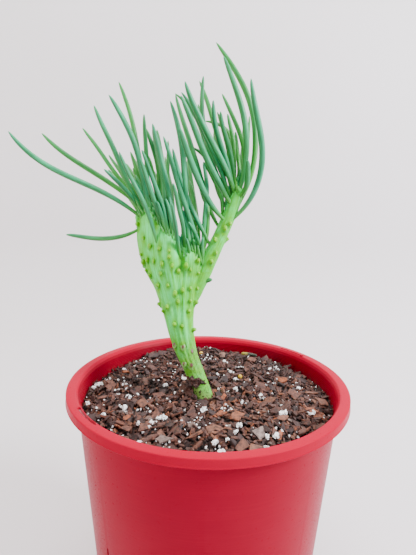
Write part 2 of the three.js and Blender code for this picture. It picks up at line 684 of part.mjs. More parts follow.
// Surface of the mix: highest at the back, with gentle humps
function mixHeight(x, y) {
  const { height, spanX, spanY, shift } = MIX_HUMP;
  const hump = height * Math.sin(x / spanX + shift) * Math.cos(y / spanY);
  const ripple = MIX_RIPPLE.height * Math.sin((x - 2 * y) / MIX_RIPPLE.span);
  return MIX_LEVEL + (MIX_SLOPE * y) / SPREAD_RADIUS + hump + ripple - mixDrop(x, y);
}

function mixRadius(z) {
  return wallRadius(z) - WALL - GAP;
}

function mixBody() {
  const profile = [
    [0, BASE + GAP],
    [mixRadius(BASE) - BASE_CORNER, BASE + GAP],
    [mixRadius(BASE + BASE_CORNER), BASE + BASE_CORNER + GAP],
    [mixRadius(MIX_LEVEL), MIX_LEVEL],
    ...MIX_RINGS.map((radius) => [radius, MIX_LEVEL]),
    [0, MIX_LEVEL],
  ];
  const body = lathe(profile, POT_SIDES);
  const points = body.getAttribute('position');
  for (let i = 0; i < points.count; i++) {
    const [x, y] = [points.getX(i), points.getY(i)];
    if (points.getZ(i) < MIX_LEVEL - GAP) continue;
    const z = mixHeight(x, y);
    const rim = Math.hypot(x, y) > MIX_RINGS[0] + 1 ? mixRadius(z) / mixRadius(MIX_LEVEL) : 1;
    points.setXYZ(i, x * rim, y * rim, z);
  }
  return solid(body);
}

// An irregular five-cornered slab of bark lying nearly flat
function chip(index, x, y) {
  const [length, width] = [between(CHIP_LENGTH, spread(index, 20)), between(CHIP_WIDTH, spread(index, 21))];
  const thickness = between(CHIP_THICKNESS, spread(index, 22));
  const outline = new THREE.Shape(Array.from({ length: CHIP_CORNERS }, (_, k) => {
    const angle = ((k + CHIP_CORNER_SHIFT * spread(index + 7 * k, 23)) / CHIP_CORNERS) * 2 * Math.PI;
    const reach = between(CHIP_REACH, spread(index + 5 * k, 24));
    return new THREE.Vector2((reach * length * Math.cos(angle)) / 2, (reach * width * Math.sin(angle)) / 2);
  }));
  const slab = new THREE.ExtrudeGeometry(outline, { depth: thickness, bevelEnabled: false });
  slab.translate(0, 0, -thickness / 2);
  slab.rotateX(CHIP_TILT * (2 * spread(index, 25) - 1));
  slab.rotateY(CHIP_TILT * (2 * spread(index, 26) - 1));
  slab.rotateZ(2 * Math.PI * spread(index, 27));
  slab.translate(x, y, mixHeight(x, y) + thickness * between(CHIP_LIFT, spread(index, 28)));
  return solid(slab);
}

function perliteGrain(index) {
  const radius = between(GRAIN_RADIUS, spread(index, 30));
  const out = SPREAD_RADIUS * Math.sqrt(spread(index, 31));
  const bearing = 2 * Math.PI * spread(index, 32);
  const [x, y] = [out * Math.cos(bearing), out * Math.sin(bearing)];
  const grain = new THREE.OctahedronGeometry(radius);
  grain.rotateX(spread(index, 33) * Math.PI);
  grain.rotateZ(spread(index, 34) * Math.PI);
  grain.translate(x, y, mixHeight(x, y) + radius / 2);
  return solid(grain);
}

function bead(x, y) {
  const ball = new THREE.IcosahedronGeometry(BEAD_RADIUS);
  ball.translate(x, y, mixHeight(x, y) + BEAD_RADIUS);
  return solid(ball);
}

// The shed leaf, or with grow the bed it lies in
function shedLeaf(grow = 0) {
  const [from, to] = [SHED_LEAF.from, SHED_LEAF.to].map(([x, y]) => vec(x, y, mixHeight(x, y)));
  const radius = SHED_LEAF.thickness / 2;
  const ahead = to.clone().sub(from).normalize();
  const stations = LEAF_TAPER.map(([t, share], i) => {
    const middle = from.clone().lerp(to, t);
    middle.z += radius - SHED_LEAF.sunk;
    if (i === 0) middle.addScaledVector(ahead, -grow);
    if (i === LEAF_TAPER.length - 1) middle.addScaledVector(ahead, grow);
    return { middle, ahead, radius: radius * share + grow };
  });
  return tube(stations, LEAF_SIDES + 1);
}

function stemHole() {
  return loft(HOLE_LEVELS.map((level) => stemRing(level, GAP)));
}

function makeMix() {
  const loose = [];
  const turn = Math.PI * (3 - Math.sqrt(5));
  const [leafX, leafY] = [0, 1].map((axis) => (SHED_LEAF.from[axis] + SHED_LEAF.to[axis]) / 2);
  for (let i = 0; i < CHIPS; i++) {
    const out = SPREAD_RADIUS * Math.sqrt((i + 0.5) / CHIPS);
    const [x, y] = [out * Math.cos(i * turn), out * Math.sin(i * turn)];
    if (Math.hypot(x - STEM_X, y - STEM_Y) < CLEAR_OF_STEM) continue;
    if (Math.hypot(x - leafX, y - leafY) < CLEAR_OF_LEAF) continue;
    loose.push(chip(i, x, y));
  }
  for (let i = 0; i < GRAINS; i++) loose.push(perliteGrain(i));
  for (const [x, y] of BEADS) loose.push(bead(x, y));
  const [low, high] = [MIX_LEVEL / 2, POT_HEIGHT];
  const within = new THREE.CylinderGeometry(mixRadius(high), mixRadius(low), high - low, POT_SIDES);
  within.rotateX(Math.PI / 2);
  within.translate(0, 0, (low + high) / 2);
  const surface = join(loose).intersect(solid(within));
  return wholeBody(join([mixBody(), surface]).subtract(join([stemHole(), shedLeaf(GAP)])));
}

function makePlant() {
  const stem = join([
    loft([...STEM_LEVELS.map((level) => stemRing(level)), stemRing(EDGE_LEVEL + EDGE_ROUND, -EDGE_INSET)]),
    loft([...CURL_LEVELS.map((level) => curlRing(level)), curlRing(CURL_TOP_Z + EDGE_ROUND, EDGE_INSET)]),
    shootTube(),
  ]);
  return wholeBody(join([stem, ...makeLeaves(), ...makeNubs()]));
}

const plantInPot = new THREE.Group();
plantInPot.add(mesh('pot', makePot(), standard(0xd9142f, 0.35)));
plantInPot.add(mesh('potting_mix', makeMix(), standard(0x5c4033, 0.9)));
plantInPot.add(mesh('crested_plant', makePlant(), standard(0x7fbf86, 0.5)));
plantInPot.add(mesh('shed_leaf', shedLeaf(), standard(0x4a5238, 0.7)));

export default plantInPot;
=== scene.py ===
import json
import math

import bmesh
import bpy
import numpy as np
from mathutils import Matrix, Vector, noise

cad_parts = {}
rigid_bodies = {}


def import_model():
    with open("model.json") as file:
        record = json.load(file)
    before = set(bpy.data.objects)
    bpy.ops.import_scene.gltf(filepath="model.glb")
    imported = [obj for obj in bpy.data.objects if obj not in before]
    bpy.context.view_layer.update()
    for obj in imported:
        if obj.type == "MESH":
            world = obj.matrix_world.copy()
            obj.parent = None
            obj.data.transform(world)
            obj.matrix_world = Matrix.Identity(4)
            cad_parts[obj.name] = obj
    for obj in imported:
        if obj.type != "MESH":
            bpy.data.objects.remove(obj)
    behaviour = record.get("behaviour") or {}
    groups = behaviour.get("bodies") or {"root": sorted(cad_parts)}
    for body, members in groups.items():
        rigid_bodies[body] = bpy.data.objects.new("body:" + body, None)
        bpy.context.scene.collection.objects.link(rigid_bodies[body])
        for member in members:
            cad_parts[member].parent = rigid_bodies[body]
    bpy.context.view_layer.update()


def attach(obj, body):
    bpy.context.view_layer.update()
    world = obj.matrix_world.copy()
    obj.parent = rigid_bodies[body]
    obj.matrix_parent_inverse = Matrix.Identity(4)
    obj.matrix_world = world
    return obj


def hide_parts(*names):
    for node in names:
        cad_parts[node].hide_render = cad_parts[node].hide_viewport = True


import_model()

# Camera: at the height of the leaves and 29 cm in front of the pot's axis, turned 10 degrees
# down and leaning a little to the right, with the moderate wide angle of a phone.
CAMERA_PLACE = (0, -0.2907, 0.3163)
YAW, PITCH, ROLL = (math.radians(angle) for angle in (-0.37, 9.96, 1.27))
ahead = Vector((math.sin(YAW) * math.cos(PITCH), math.cos(YAW) * math.cos(PITCH), -math.sin(PITCH)))
level = Vector((math.cos(YAW), -math.sin(YAW), 0))
upright = level.cross(ahead)
right = level * math.cos(ROLL) + upright * math.sin(ROLL)
up = upright * math.cos(ROLL) - level * math.sin(ROLL)
camera_data = bpy.data.cameras.new("camera")
camera_data.sensor_width = 36
camera_data.lens = 27.05
camera_data.clip_start = 0.01
camera = bpy.data.objects.new("camera", camera_data)
camera.matrix_world = Matrix.Translation(CAMERA_PLACE) @ Matrix((right, up, -ahead)).transposed().to_4x4()
bpy.context.collection.objects.link(camera)
bpy.context.scene.camera = camera


# Stage: a pale matt floor that curves up into a wall behind the pot, under soft lamps.
# None of it belongs to the object.
def srgb(code):
    """The linear colour of a hex code such as #d9142f"""
    parts = [int(code[i:i + 2], 16) / 255 for i in (1, 3, 5)]
    return tuple(p / 12.92 if p <= 0.04045 else ((p + 0.055) / 1.055) ** 2.4 for p in parts) + (1,)


GIVES = {"ShaderNodeMix": 2, "ShaderNodeTexCoord": "Object", "ShaderNodeAttribute": "Fac"}


def add(tree, kind, settings):
    """A node of this kind. Keys are sockets' names or numbers, or else the node's own settings.
    A node given as a value is linked by the output in GIVES, or else its first."""
    node = tree.nodes.new(kind if "Node" in kind else "ShaderNode" + kind)
    if kind == "Mix":
        node.data_type = "RGBA"
    for key, value in settings.items():
        if isinstance(value, bpy.types.Node):
            value = value.outputs[GIVES.get(value.bl_idname, 0)]
        elif isinstance(value, str) and value.startswith("#"):
            value = srgb(value)
        if key == "tones":
            stops = node.color_ramp.elements
            stops[0].color, stops[-1].color = srgb(value[0][1]), srgb(value[-1][1])
            for spot, code in value[1:-1]:
                stops.new(spot).color = srgb(code)
        elif isinstance(key, str) and key not in node.inputs:
            setattr(node, key, value)
        elif isinstance(value, bpy.types.NodeSocket):
            tree.links.new(value, node.inputs[key])
        else:
            node.inputs[key].default_value = value
    return node


def blank(name):
    """A new material, its node tree, and the place on the piece that its patterns are read at"""
    material = bpy.data.materials.new(name)
    material.use_nodes = True
    tree = material.node_tree
    tree.nodes.clear()
    return material, tree, add(tree, "TexCoord", {})


def mesh_object(name, points, faces, material, smooth=True):
    """A mesh from corner points in millimetres"""
    mesh = bpy.data.meshes.new(name)
    mesh.from_pydata((np.asarray(points) * 0.001).tolist(), [], [list(face) for face in faces])
    mesh.polygons.foreach_set("use_smooth", [smooth] * len(mesh.polygons))
    mesh.update()
    piece = bpy.data.objects.new(name, mesh)
    bpy.context.collection.objects.link(piece)
    if material:
        mesh.materials.append(material)
    return piece


WALL_Y = 430
SWEEP_RADIUS = 260
STAGE_HALF_WIDTH = 2600
STAGE_FRONT = -2400
STAGE_TOP = 2600
section = [(STAGE_FRONT, 0)]
for step in range(17):
    turn = step / 16 * math.pi / 2
    section.append((WALL_Y - SWEEP_RADIUS * (1 - math.sin(turn)), SWEEP_RADIUS * (1 - math.cos(turn))))
section.append((WALL_Y, STAGE_TOP))
sweep_points = [(x, y, z) for y, z in section for x in (-STAGE_HALF_WIDTH, STAGE_HALF_WIDTH)]
sweep_faces = [(2 * i, 2 * i + 1, 2 * i + 3, 2 * i + 2) for i in range(len(section) - 1)]
# Matt wall paint with a faint roller texture
paint, tree, place = blank("matt_wall_paint")
mottle = add(tree, "TexNoise", {"Vector": place, "Scale": 3, "Detail": 2})
shade = add(tree, "Mix", {0: mottle, 6: "#dbd4d3", 7: "#e3dddf"})
roller = add(tree, "TexNoise", {"Vector": place, "Scale": 400, "Detail": 1})
relief = add(tree, "Bump", {"Height": roller, "Distance": 0.0002, "Strength": 0.3})
add(tree, "OutputMaterial", {"Surface": add(tree, "BsdfPrincipled", {
    "Base Color": shade, "Roughness": 0.85, "Normal": relief})})
sweep = mesh_object("stage_sweep", sweep_points, sweep_faces, paint)

LAMPS = {
    # name: place in metres, side in metres, power in watts, colour
    "window_right": ((0.95, -0.35, 0.85), 0.45, 38, "#f4f8ff"),
    "room_left": ((-0.95, -0.4, 0.6), 0.7, 11, "#fff8f2"),
    "ceiling": ((-0.1, 0, 1.4), 0.8, 20, "#ffffff"),
}
for name, (spot, side, power, tint) in LAMPS.items():
    lamp = bpy.data.lights.new(name, "AREA")
    lamp.size = side
    lamp.energy = power
    lamp.color = srgb(tint)[:3]
    holder = bpy.data.objects.new(name, lamp)
    holder.location = spot
    holder.rotation_euler = (Vector((0, 0, 0.22)) - Vector(spot)).to_track_quat("-Z", "Y").to_euler()
    bpy.context.collection.objects.link(holder)
world = bpy.data.worlds.new("soft_room")
world.use_nodes = True
world.node_tree.nodes.clear()
sky = add(world.node_tree, "Background", {"Color": "#eef1f6", "Strength": 0.48})
add(world.node_tree, "OutputWorld", {"Surface": sky})
bpy.context.scene.world = world


# Pot: one moulding of red polypropylene, tapered, with a folded rim. Two hanger slots go
# through the flat of the rim, eight holes through the base, and grooves run down the wall.
RIM_RADIUS, POT_HEIGHT = 100, 190
RIM_TOP_WIDTH, RIM_BAND_HEIGHT, RIM_SHEET, RIM_BEAD = 6.7, 6, 1.7, 0.35
WALL_TOP_RADIUS, WALL_TAPER, WALL, BASE = 92.7, math.radians(4.7), 1.8, 2.4
POT_SIDES = 192
MIX_LEVEL = 180.5
DRAIN_HOLES, DRAIN_RADIUS, DRAIN_RING_RADIUS = 8, 5.5, 64
SLOT_RADIUS, SLOT_WIDTH, SLOT_ARC, SLOT_END_RADIUS = 94.6, 1.5, math.radians(15), 1.4
SLOT_BEARING, SLOT_STEPS, SLOT_ROUND_STEPS = math.radians(40), 24, 3
GROOVE_TOP, GROOVE_FOOT, GROOVE_WIDTH, GROOVE_DEPTH = 99, 12, 1.6, 0.7
GROOVE_BEARING = math.radians(-136)
RING_STEP = 1.3


def wall_radius(z):
    return WALL_TOP_RADIUS - (POT_HEIGHT - RIM_BAND_HEIGHT - z) * math.tan(WALL_TAPER)


def rounded(corners, steps=4):
    """A profile through (radius, height, rounding) corners, each corner rounded off"""
    profile = []
    for i, (r, z, rounding) in enumerate(corners):
        here = Vector((r, z))
        if not rounding or i in (0, len(corners) - 1):
            profile.append((r, z))
            continue
        before = Vector(corners[i - 1][:2]) - here
        after = Vector(corners[i + 1][:2]) - here
        start = here + before.normalized() * min(rounding, before.length * 0.45)
        end = here + after.normalized() * min(rounding, after.length * 0.45)
        for k in range(steps + 1):
            t = k / steps
            profile.append(tuple(start.lerp(here, t).lerp(here.lerp(end, t), t)))
    return profile


def lathe(profile, sides):
    """Points and faces of a profile turned about the Z axis, with poles where its radius is nought"""
    points, rows = [], []
    for r, z in profile:
        if r < 1e-6:
            rows.append([len(points)] * sides)
            points.append((0, 0, z))
            continue
        rows.append(list(range(len(points), len(points) + sides)))
        for k in range(sides):
            angle = 2 * math.pi * k / sides
            points.append((r * math.cos(angle), r * math.sin(angle), z))
    faces = []
    for low, high in zip(rows, rows[1:]):
        for k in range(sides):
            n = (k + 1) % sides
            corner = [low[k], low[n], high[n], high[k]]
            faces.append(list(dict.fromkeys(corner)))
    return np.array(points), faces


def block(size, cutter, turn):
    """Adds a box of this size to a cutting mesh, placed by a matrix"""
    made = bmesh.ops.create_cube(cutter, size=1)
    matrix = turn @ Matrix.Diagonal((*size, 1))
    bmesh.ops.transform(cutter, matrix=matrix, verts=made["verts"])


def drum(radius, depth, sides, cutter, centre):
    """Adds an upright cylinder to a cutting mesh"""
    bmesh.ops.create_cone(cutter, segments=sides, radius1=radius, radius2=radius, depth=depth,
                          cap_ends=True, matrix=Matrix.Translation(centre))


def cutting_object(name, cutter):
    mesh = bpy.data.meshes.new(name)
    bmesh.ops.recalc_face_normals(cutter, faces=cutter.faces)
    bmesh.ops.scale(cutter, vec=(0.001, 0.001, 0.001), verts=cutter.verts)
    cutter.to_mesh(mesh)
    cutter.free()
    piece = bpy.data.objects.new(name, mesh)
    bpy.context.collection.objects.link(piece)
    return piece


def bake(piece):
    """Replaces an object's mesh by a plain one with its modifiers applied"""
    graph = bpy.context.evaluated_depsgraph_get()
    mesh = bpy.data.meshes.new_from_object(piece.evaluated_get(graph))
    draft = piece.data
    piece.modifiers.clear()
    piece.data = mesh
    bpy.data.meshes.remove(draft)
    mesh.name = piece.name


rim_inner = RIM_RADIUS - RIM_TOP_WIDTH
sheet_under = POT_HEIGHT - RIM_SHEET
band_foot = POT_HEIGHT - RIM_BAND_HEIGHT
inner_at = lambda z: wall_radius(z) - WALL
rings = [(inner_at(z) + 0.12 * math.sin(z * 2 * math.pi / RING_STEP), z, 0)
         for z in np.arange(186.4, 173.5, -RING_STEP / 5)]
pot_profile = rounded([
    (0, 0, 0), (wall_radius(0) - 2, 0, 1), (wall_radius(2), 2, 1),
    (wall_radius(sheet_under), sheet_under, 0.6),
    (RIM_RADIUS - RIM_SHEET, sheet_under, 0.5), (RIM_RADIUS - RIM_SHEET, band_foot, 0.3),
    (RIM_RADIUS - 0.1, band_foot - 0.1, 0.25), (RIM_RADIUS + RIM_BEAD, band_foot + RIM_BEAD, 0.3),
    (RIM_RADIUS, band_foot + 3 * RIM_BEAD, 0.3), (RIM_RADIUS, POT_HEIGHT, 0.9),
    (rim_inner, POT_HEIGHT, 0.8), (inner_at(sheet_under) + 0.2, POT_HEIGHT - 3.2, 0.6), *rings,
    (inner_at(BASE + 2), BASE + 2, 1), (inner_at(BASE) - 2, BASE, 1), (0, BASE, 0)])

# Injection-moulded polypropylene: glossy red with a slight orange peel, rings inside the rim, a few pale
# scuffs and some soil dust where the mix has touched it; painted light brightens the rim, and painted shade
# darkens the inside and lines its rings
plastic, tree, place = blank("red_polypropylene")
axis = add(tree, "SeparateXYZ", {0: place})
flat = add(tree, "CombineXYZ", {0: axis.outputs[0], 1: axis.outputs[1]})
radius = add(tree, "VectorMath", {"operation": "LENGTH", 0: flat}).outputs["Value"]
cloud = add(tree, "TexNoise", {"Vector": place, "Scale": 22, "Detail": 3})
body = add(tree, "Mix", {0: cloud, 6: "#880020", 7: "#940026"})
stretch = add(tree, "Mapping", {"Vector": place, "Scale": (40, 40, 1500)})
scratch = add(tree, "TexNoise", {"Vector": stretch, "Scale": 1, "Detail": 3})
scuffs = add(tree, "MapRange", {0: scratch, 1: 0.45, 2: 0.75, 3: 0, 4: 0.15})
worn = add(tree, "Mix", {0: scuffs, 6: body, 7: "#b80a2c"})
low = add(tree, "MapRange", {0: axis.outputs[2], 1: 0.1865, 2: 0.1805, 3: 0, 4: 1})
# how far outside the middle of the tapered wall a point lies
out = add(tree, "Math", {"operation": "MULTIPLY", 0: axis.outputs[2], 1: -math.tan(WALL_TAPER)})
out = add(tree, "Math", {"operation": "ADD", 0: radius, 1: out})
middle = (wall_radius(0) - WALL / 2) * 0.001
inside = add(tree, "Math", {"operation": "LESS_THAN", 0: out, 1: middle})
specks = add(tree, "TexNoise", {"Vector": place, "Scale": 520, "Detail": 5})
dust = add(tree, "MapRange", {0: specks, 1: 0.48, 2: 0.66, 3: 0, 4: 0.75})
soiled = add(tree, "MapRange", {0: axis.outputs[2], 1: 0.182, 2: 0.1755})
soiled = add(tree, "Math", {"operation": "MULTIPLY", 0: soiled, 1: inside})
soiled = add(tree, "Math", {"operation": "MULTIPLY", 0: soiled, 1: dust})
# painted light and shade: the rim and band are painted a brighter red, as if lit through their thin sheet,
# and the inside of the wall a darker red, as if in shade
painted_light_and_shade = add(tree, "MapRange", {0: axis.outputs[2], 1: 0.1825, 2: 0.185, 3: 0, 4: 0.8})
outside = add(tree, "Math", {"operation": "SUBTRACT", 0: 1, 1: inside})
painted_light_and_shade = add(tree, "Math", {"operation": "MULTIPLY", 0: painted_light_and_shade, 1: outside})
painted_light_and_shade = add(tree, "Mix", {0: painted_light_and_shade, 6: worn, 7: "#a8002a"})
# painted shade: the inside of the wall is painted darker
shade = add(tree, "Math", {"operation": "MULTIPLY", 0: inside, 1: 0.5})
painted_light_and_shade = add(tree, "Mix", {0: shade, 6: painted_light_and_shade, 7: "#700010"})
# painted shade: dark lines laid along the rings inside the wall
painted_ring_shade = add(tree, "Math", {"operation": "MULTIPLY", 0: axis.outputs[2], 1: 2000 * math.pi / RING_STEP})
painted_ring_shade = add(tree, "Math", {"operation": "SINE", 0: painted_ring_shade})
painted_ring_shade = add(tree, "MapRange", {0: painted_ring_shade, 1: 0.1, 2: 0.9, 3: 0, 4: 0.45})
painted_ring_shade = add(tree, "Math", {"operation": "MULTIPLY", 0: painted_ring_shade, 1: low})
painted_ring_shade = add(tree, "Math", {"operation": "MULTIPLY", 0: painted_ring_shade, 1: inside})
with_painted_ring_shade = add(tree, "Mix", {0: painted_ring_shade, 6: painted_light_and_shade, 7: "#4c0210"})
colour = add(tree, "Mix", {0: soiled, 6: with_painted_ring_shade, 7: "#5b3326"})
rough = add(tree, "MapRange", {0: specks, 1: 0.3, 2: 0.7, 3: 0.26, 4: 0.4})
rough = add(tree, "Math", {"operation": "ADD", 0: rough, 1: soiled})
peel = add(tree, "TexNoise", {"Vector": place, "Scale": 700, "Detail": 2})
relief = add(tree, "Bump", {"Height": peel, "Distance": 0.00012, "Strength": 0.35})
relief = add(tree, "Bump", {
    "Height": scratch, "Distance": 0.00006, "Strength": 0.3, "Normal": relief})
add(tree, "OutputMaterial", {"Surface": add(tree, "BsdfPrincipled", {
    "Base Color": colour, "Roughness": rough, "IOR": 1.49, "Specular IOR Level": 0.025,
    "Subsurface Weight": 0.06, "Subsurface Radius": (0.004, 0.0005, 0.0005),
    "Normal": relief})})

pot = mesh_object("pot_shell", *lathe(pot_profile, POT_SIDES), plastic)
slots, holes = bmesh.new(), bmesh.new()
cut_foot, cut_top = POT_HEIGHT - 3, POT_HEIGHT + 2
for bearing in (SLOT_BEARING, SLOT_BEARING + math.pi):
    first = bearing - SLOT_ARC / 2
    rows = []
    for k in range(SLOT_STEPS + 1):
        angle = first + SLOT_ARC * k / SLOT_STEPS
        # the far end of the slot is rounded
        into_end = max(k - SLOT_STEPS + SLOT_ROUND_STEPS, 0)
        half = SLOT_WIDTH / 2 * math.sqrt(max(1 - into_end ** 2 / 10, 0.05))
        rows.append([slots.verts.new((r * math.cos(angle), r * math.sin(angle), z))
                     for r, z in ((SLOT_RADIUS - half, cut_foot), (SLOT_RADIUS + half, cut_foot),
                                  (SLOT_RADIUS + half, cut_top), (SLOT_RADIUS - half, cut_top))])
    for one, two in zip(rows, rows[1:]):
        for k in range(4):
            slots.faces.new((one[k], one[(k + 1) % 4], two[(k + 1) % 4], two[k]))
    slots.faces.new(rows[0][::-1])
    slots.faces.new(rows[-1])
    end = (SLOT_RADIUS * math.cos(first), SLOT_RADIUS * math.sin(first), POT_HEIGHT)
    drum(SLOT_END_RADIUS, 6, 32, holes, end)
for k in range(DRAIN_HOLES):
    bearing = 2 * math.pi * k / DRAIN_HOLES
    drum(DRAIN_RADIUS, 4 * BASE, 40, holes,
         (DRAIN_RING_RADIUS * math.cos(bearing), DRAIN_RING_RADIUS * math.sin(bearing), 0))
    middle = (GROOVE_TOP + GROOVE_FOOT) / 2
    turn = Matrix.Rotation(GROOVE_BEARING + bearing, 4, "Z") @ Matrix.Translation(
        (wall_radius(middle), 0, middle)) @ Matrix.Rotation(WALL_TAPER, 4, "Y")
    block((2 * GROOVE_DEPTH, GROOVE_WIDTH, GROOVE_TOP - GROOVE_FOOT), holes, turn)
for name, cutter in (("slot_cutter", slots), ("hole_cutter", holes)):
    tool = cutting_object(name, cutter)
    cut = pot.modifiers.new(name, "BOOLEAN")
    cut.operation = "DIFFERENCE"
    cut.solver = "EXACT"
    cut.object = tool
bake(pot)
for name in ("slot_cutter", "hole_cutter"):
    bpy.data.objects.remove(bpy.data.objects[name])
pot.data.polygons.foreach_set("use_smooth", [True] * len(pot.data.polygons))
pot.data.set_sharp_from_angle(angle=math.radians(38))
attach(pot, "root")
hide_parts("pot")


# Potting mix: fine dark compost that fills the pot to a finger's width below the rim, with
# bark, perlite and crumbs lying on it. The loose bits are scattered by one set of nodes.
SLOPE_REACH = 84
STEM_X, STEM_Y = -3, -12
SHED_FROM, SHED_TO = np.array((30, 73)), np.array((43.5, 67.5))
DROP_DEPTH, DROP_FROM, DROP_TO = 6, 68, 87
HEAP_X, HEAP_Y, HEAP_REACH = -24, 80, 40


def mix_height(x, y):
    hump = 0.8 * np.sin(x / 14 + 1) * np.cos(y / 19)
    mounds = 0.8 * np.sin(x / 6.3 + y / 9) * np.cos(y / 5.7 - x / 12)
    # the mix lies lower along the wall, except at the back left, where it is heaped
    away = np.hypot(x - HEAP_X, y - HEAP_Y) / HEAP_REACH
    near_wall = np.clip((np.hypot(x, y) - DROP_FROM) / (DROP_TO - DROP_FROM), 0, 1)
    drop = DROP_DEPTH * near_wall * (1 - np.exp(-away ** 2))
    return MIX_LEVEL + 1.6 * y / SLOPE_REACH + hump + mounds + 0.4 * np.sin((x - 2 * y) / 15) - drop


def compost_material(name, dark, light, roughness, grain):
    """A crumbly brown: dark and light by patches, with a relief of this grain in millimetres"""
    material, tree, place = blank(name)
    patches = add(tree, "TexNoise", {"Vector": place, "Scale": 1000 / grain, "Detail": 6})
    mixed = add(tree, "MapRange", {0: patches, 1: 0.35, 2: 0.7})
    colour = add(tree, "Mix", {0: mixed, 6: dark, 7: light})
    relief = add(tree, "Bump", {"Height": patches, "Distance": 0.0008, "Strength": 1})
    add(tree, "OutputMaterial", {"Surface": add(tree, "BsdfPrincipled", {
        "Base Color": colour, "Roughness": roughness, "Normal": relief})})
    return material


compost = compost_material("moist_compost", "#0e0604", "#2c170f", 0.85, 1.6)
mix_edge = inner_at(MIX_LEVEL) - 0.3
bed_profile = [(0, BASE + 0.3), (inner_at(BASE) - 2.3, BASE + 0.3), (inner_at(BASE + 2) - 0.3, BASE + 2.3),
               (mix_edge, MIX_LEVEL), *((mix_edge * (1 - k / 44), MIX_LEVEL) for k in range(1, 45))]
bed_points, bed_faces = lathe(bed_profile, 144)
for point in bed_points:
    if point[2] > MIX_LEVEL - 1:
        crumble = noise.fractal(Vector(point) / 5, 0.6, 2.1, 3) * 1.1
        point[2] = mix_height(point[0], point[1]) - 0.9 + crumble
        point[:2] *= min(1, (inner_at(point[2]) - 0.3) / max(math.hypot(point[0], point[1]), 1))
bed = mesh_object("mix_bed", bed_points, bed_faces, compost)


def bits(prefix, count, shape, seed):
    """A collection of shapes to scatter, each made from its own random numbers"""
    group = bpy.data.collections.new(prefix)
    bpy.context.scene.collection.children.link(group)
    for k in range(count):
        points, faces = shape(np.random.default_rng(seed + k))
        piece = mesh_object(f"{prefix}_{k}", points, faces, None, smooth=False)
        bpy.context.collection.objects.unlink(piece)
        group.objects.link(piece)
    return group


def bark_shape(random):
    """A flake of pine bark about 10 mm long: a broken slab with sharp corners and an uneven top"""
    corners = random.integers(4, 7)
    length, width = 10 * random.uniform(0.9, 1.15), random.uniform(3.6, 8)
    thickness, curl = random.uniform(0.8, 2), random.uniform(-0.03, 0.05)
    bearings = (np.arange(corners) + random.uniform(-0.3, 0.3, corners)) / corners * 2 * math.pi
    broken = np.stack([np.cos(bearings), np.sin(bearings)], -1) * random.uniform(0.8, 1.1, (corners, 1))
    # between every two corners the break steps in or out a little
    halfway = (broken + np.roll(broken, -1, 0)) / 2 * random.uniform(0.85, 1.12, (corners, 1))
    edge = np.stack([broken, halfway], 1).reshape(-1, 2)
    sides, slope = len(edge), random.uniform(-0.12, 0.12, 2)
    points = []
    for inset, height in ((0.9, -0.5), (1, 0.25), (0.9, 0.5)):
        for x, y in edge:
            x, y = x * inset * length / 2, y * inset * width / 2
            z = height * thickness + random.normal(0, 0.12) + (slope[0] * x + slope[1] * y) * (height > 0)
            points.append((x, y, z + curl * y * y))
    points += [(0, 0, -0.5 * thickness), (0, 0, 0.55 * thickness)]
    faces = []
    for k in range(sides):
        n = (k + 1) % sides
        for a in (0, sides):
            faces.append((a + k, a + n, a + sides + n, a + sides + k))
        faces.append((n, k, 3 * sides))
        faces.append((2 * sides + k, 2 * sides + n, 3 * sides + 1))
    return points, faces


def splinter_shape(random):
    """A sharp scrap of bark about 10 mm long, a box with every corner shifted"""
    half = np.array((5, random.uniform(1.8, 3.6), random.uniform(0.7, 1.5)))
    points = [np.array((x, y, z)) * half + random.normal(0, 0.45, 3)
              for z in (-1, 1) for y in (-1, 1) for x in (-1, 1)]
    return points, [(0, 2, 3, 1), (4, 5, 7, 6), (0, 1, 5, 4), (2, 6, 7, 3), (0, 4, 6, 2), (1, 3, 7, 5)]


def ball_shape(divisions, rough):
    """A maker of lumps about 2 mm across, more or less rough"""
    def shape(random):
        lump = bmesh.new()
        bmesh.ops.create_icosphere(lump, subdivisions=divisions, radius=1)
        shift = Vector(random.uniform(-50, 50, 3))
        squash = Vector(random.uniform(0.75, 1.15, 3))
        points = []
        for vert in lump.verts:
            swell = 1 + rough * noise.noise(vert.co * 1.4 + shift)
            swell += 0.5 * rough * noise.noise(vert.co * 3.5 + shift)
            points.append(tuple(vert.co[k] * squash[k] * swell for k in range(3)))
        faces = [[vert.index for vert in face.verts] for face in lump.faces]
        lump.free()
        return points, faces
    return shape


scatter = bpy.data.node_groups.new("scatter_bits", "GeometryNodeTree")
for label, kind in (("Geometry", "Geometry"), ("Bits", "Collection"), ("Material", "Material"),
                    ("Spacing", "Float"), ("Cover", "Float"), ("Smallest", "Float"), ("Largest", "Float"),
                    ("Tilt", "Float"), ("Low", "Float"), ("High", "Float"), ("Seed", "Int")):
    scatter.interface.new_socket(label, in_out="INPUT", socket_type="NodeSocket" + kind)
scatter.interface.new_socket("Geometry", in_out="OUTPUT", socket_type="NodeSocketGeometry")
given = add(scatter, "NodeGroupInput", {}).outputs
open_ground, room, shade = (
    add(scatter, "GeometryNodeInputNamedAttribute", {"data_type": "FLOAT", "Name": label})
    for label in ("open_ground", "room", "shade"))
factor = add(scatter, "Math", {"operation": "MULTIPLY", 0: open_ground, 1: given["Cover"]})
dots = add(scatter, "GeometryNodeDistributePointsOnFaces", {
    "distribute_method": "POISSON", "Mesh": given["Geometry"], "Distance Min": given["Spacing"],
    "Density Max": 400000, "Density Factor": factor, "Seed": given["Seed"]})


def draw(low, high, series):
    """A random number for each point"""
    seed = add(scatter, "Math", {"operation": "ADD", 0: given["Seed"], 1: series})
    return add(scatter, "FunctionNodeRandomValue", {
        "data_type": "FLOAT", 2: low, 3: high, "Seed": seed}).outputs[1]


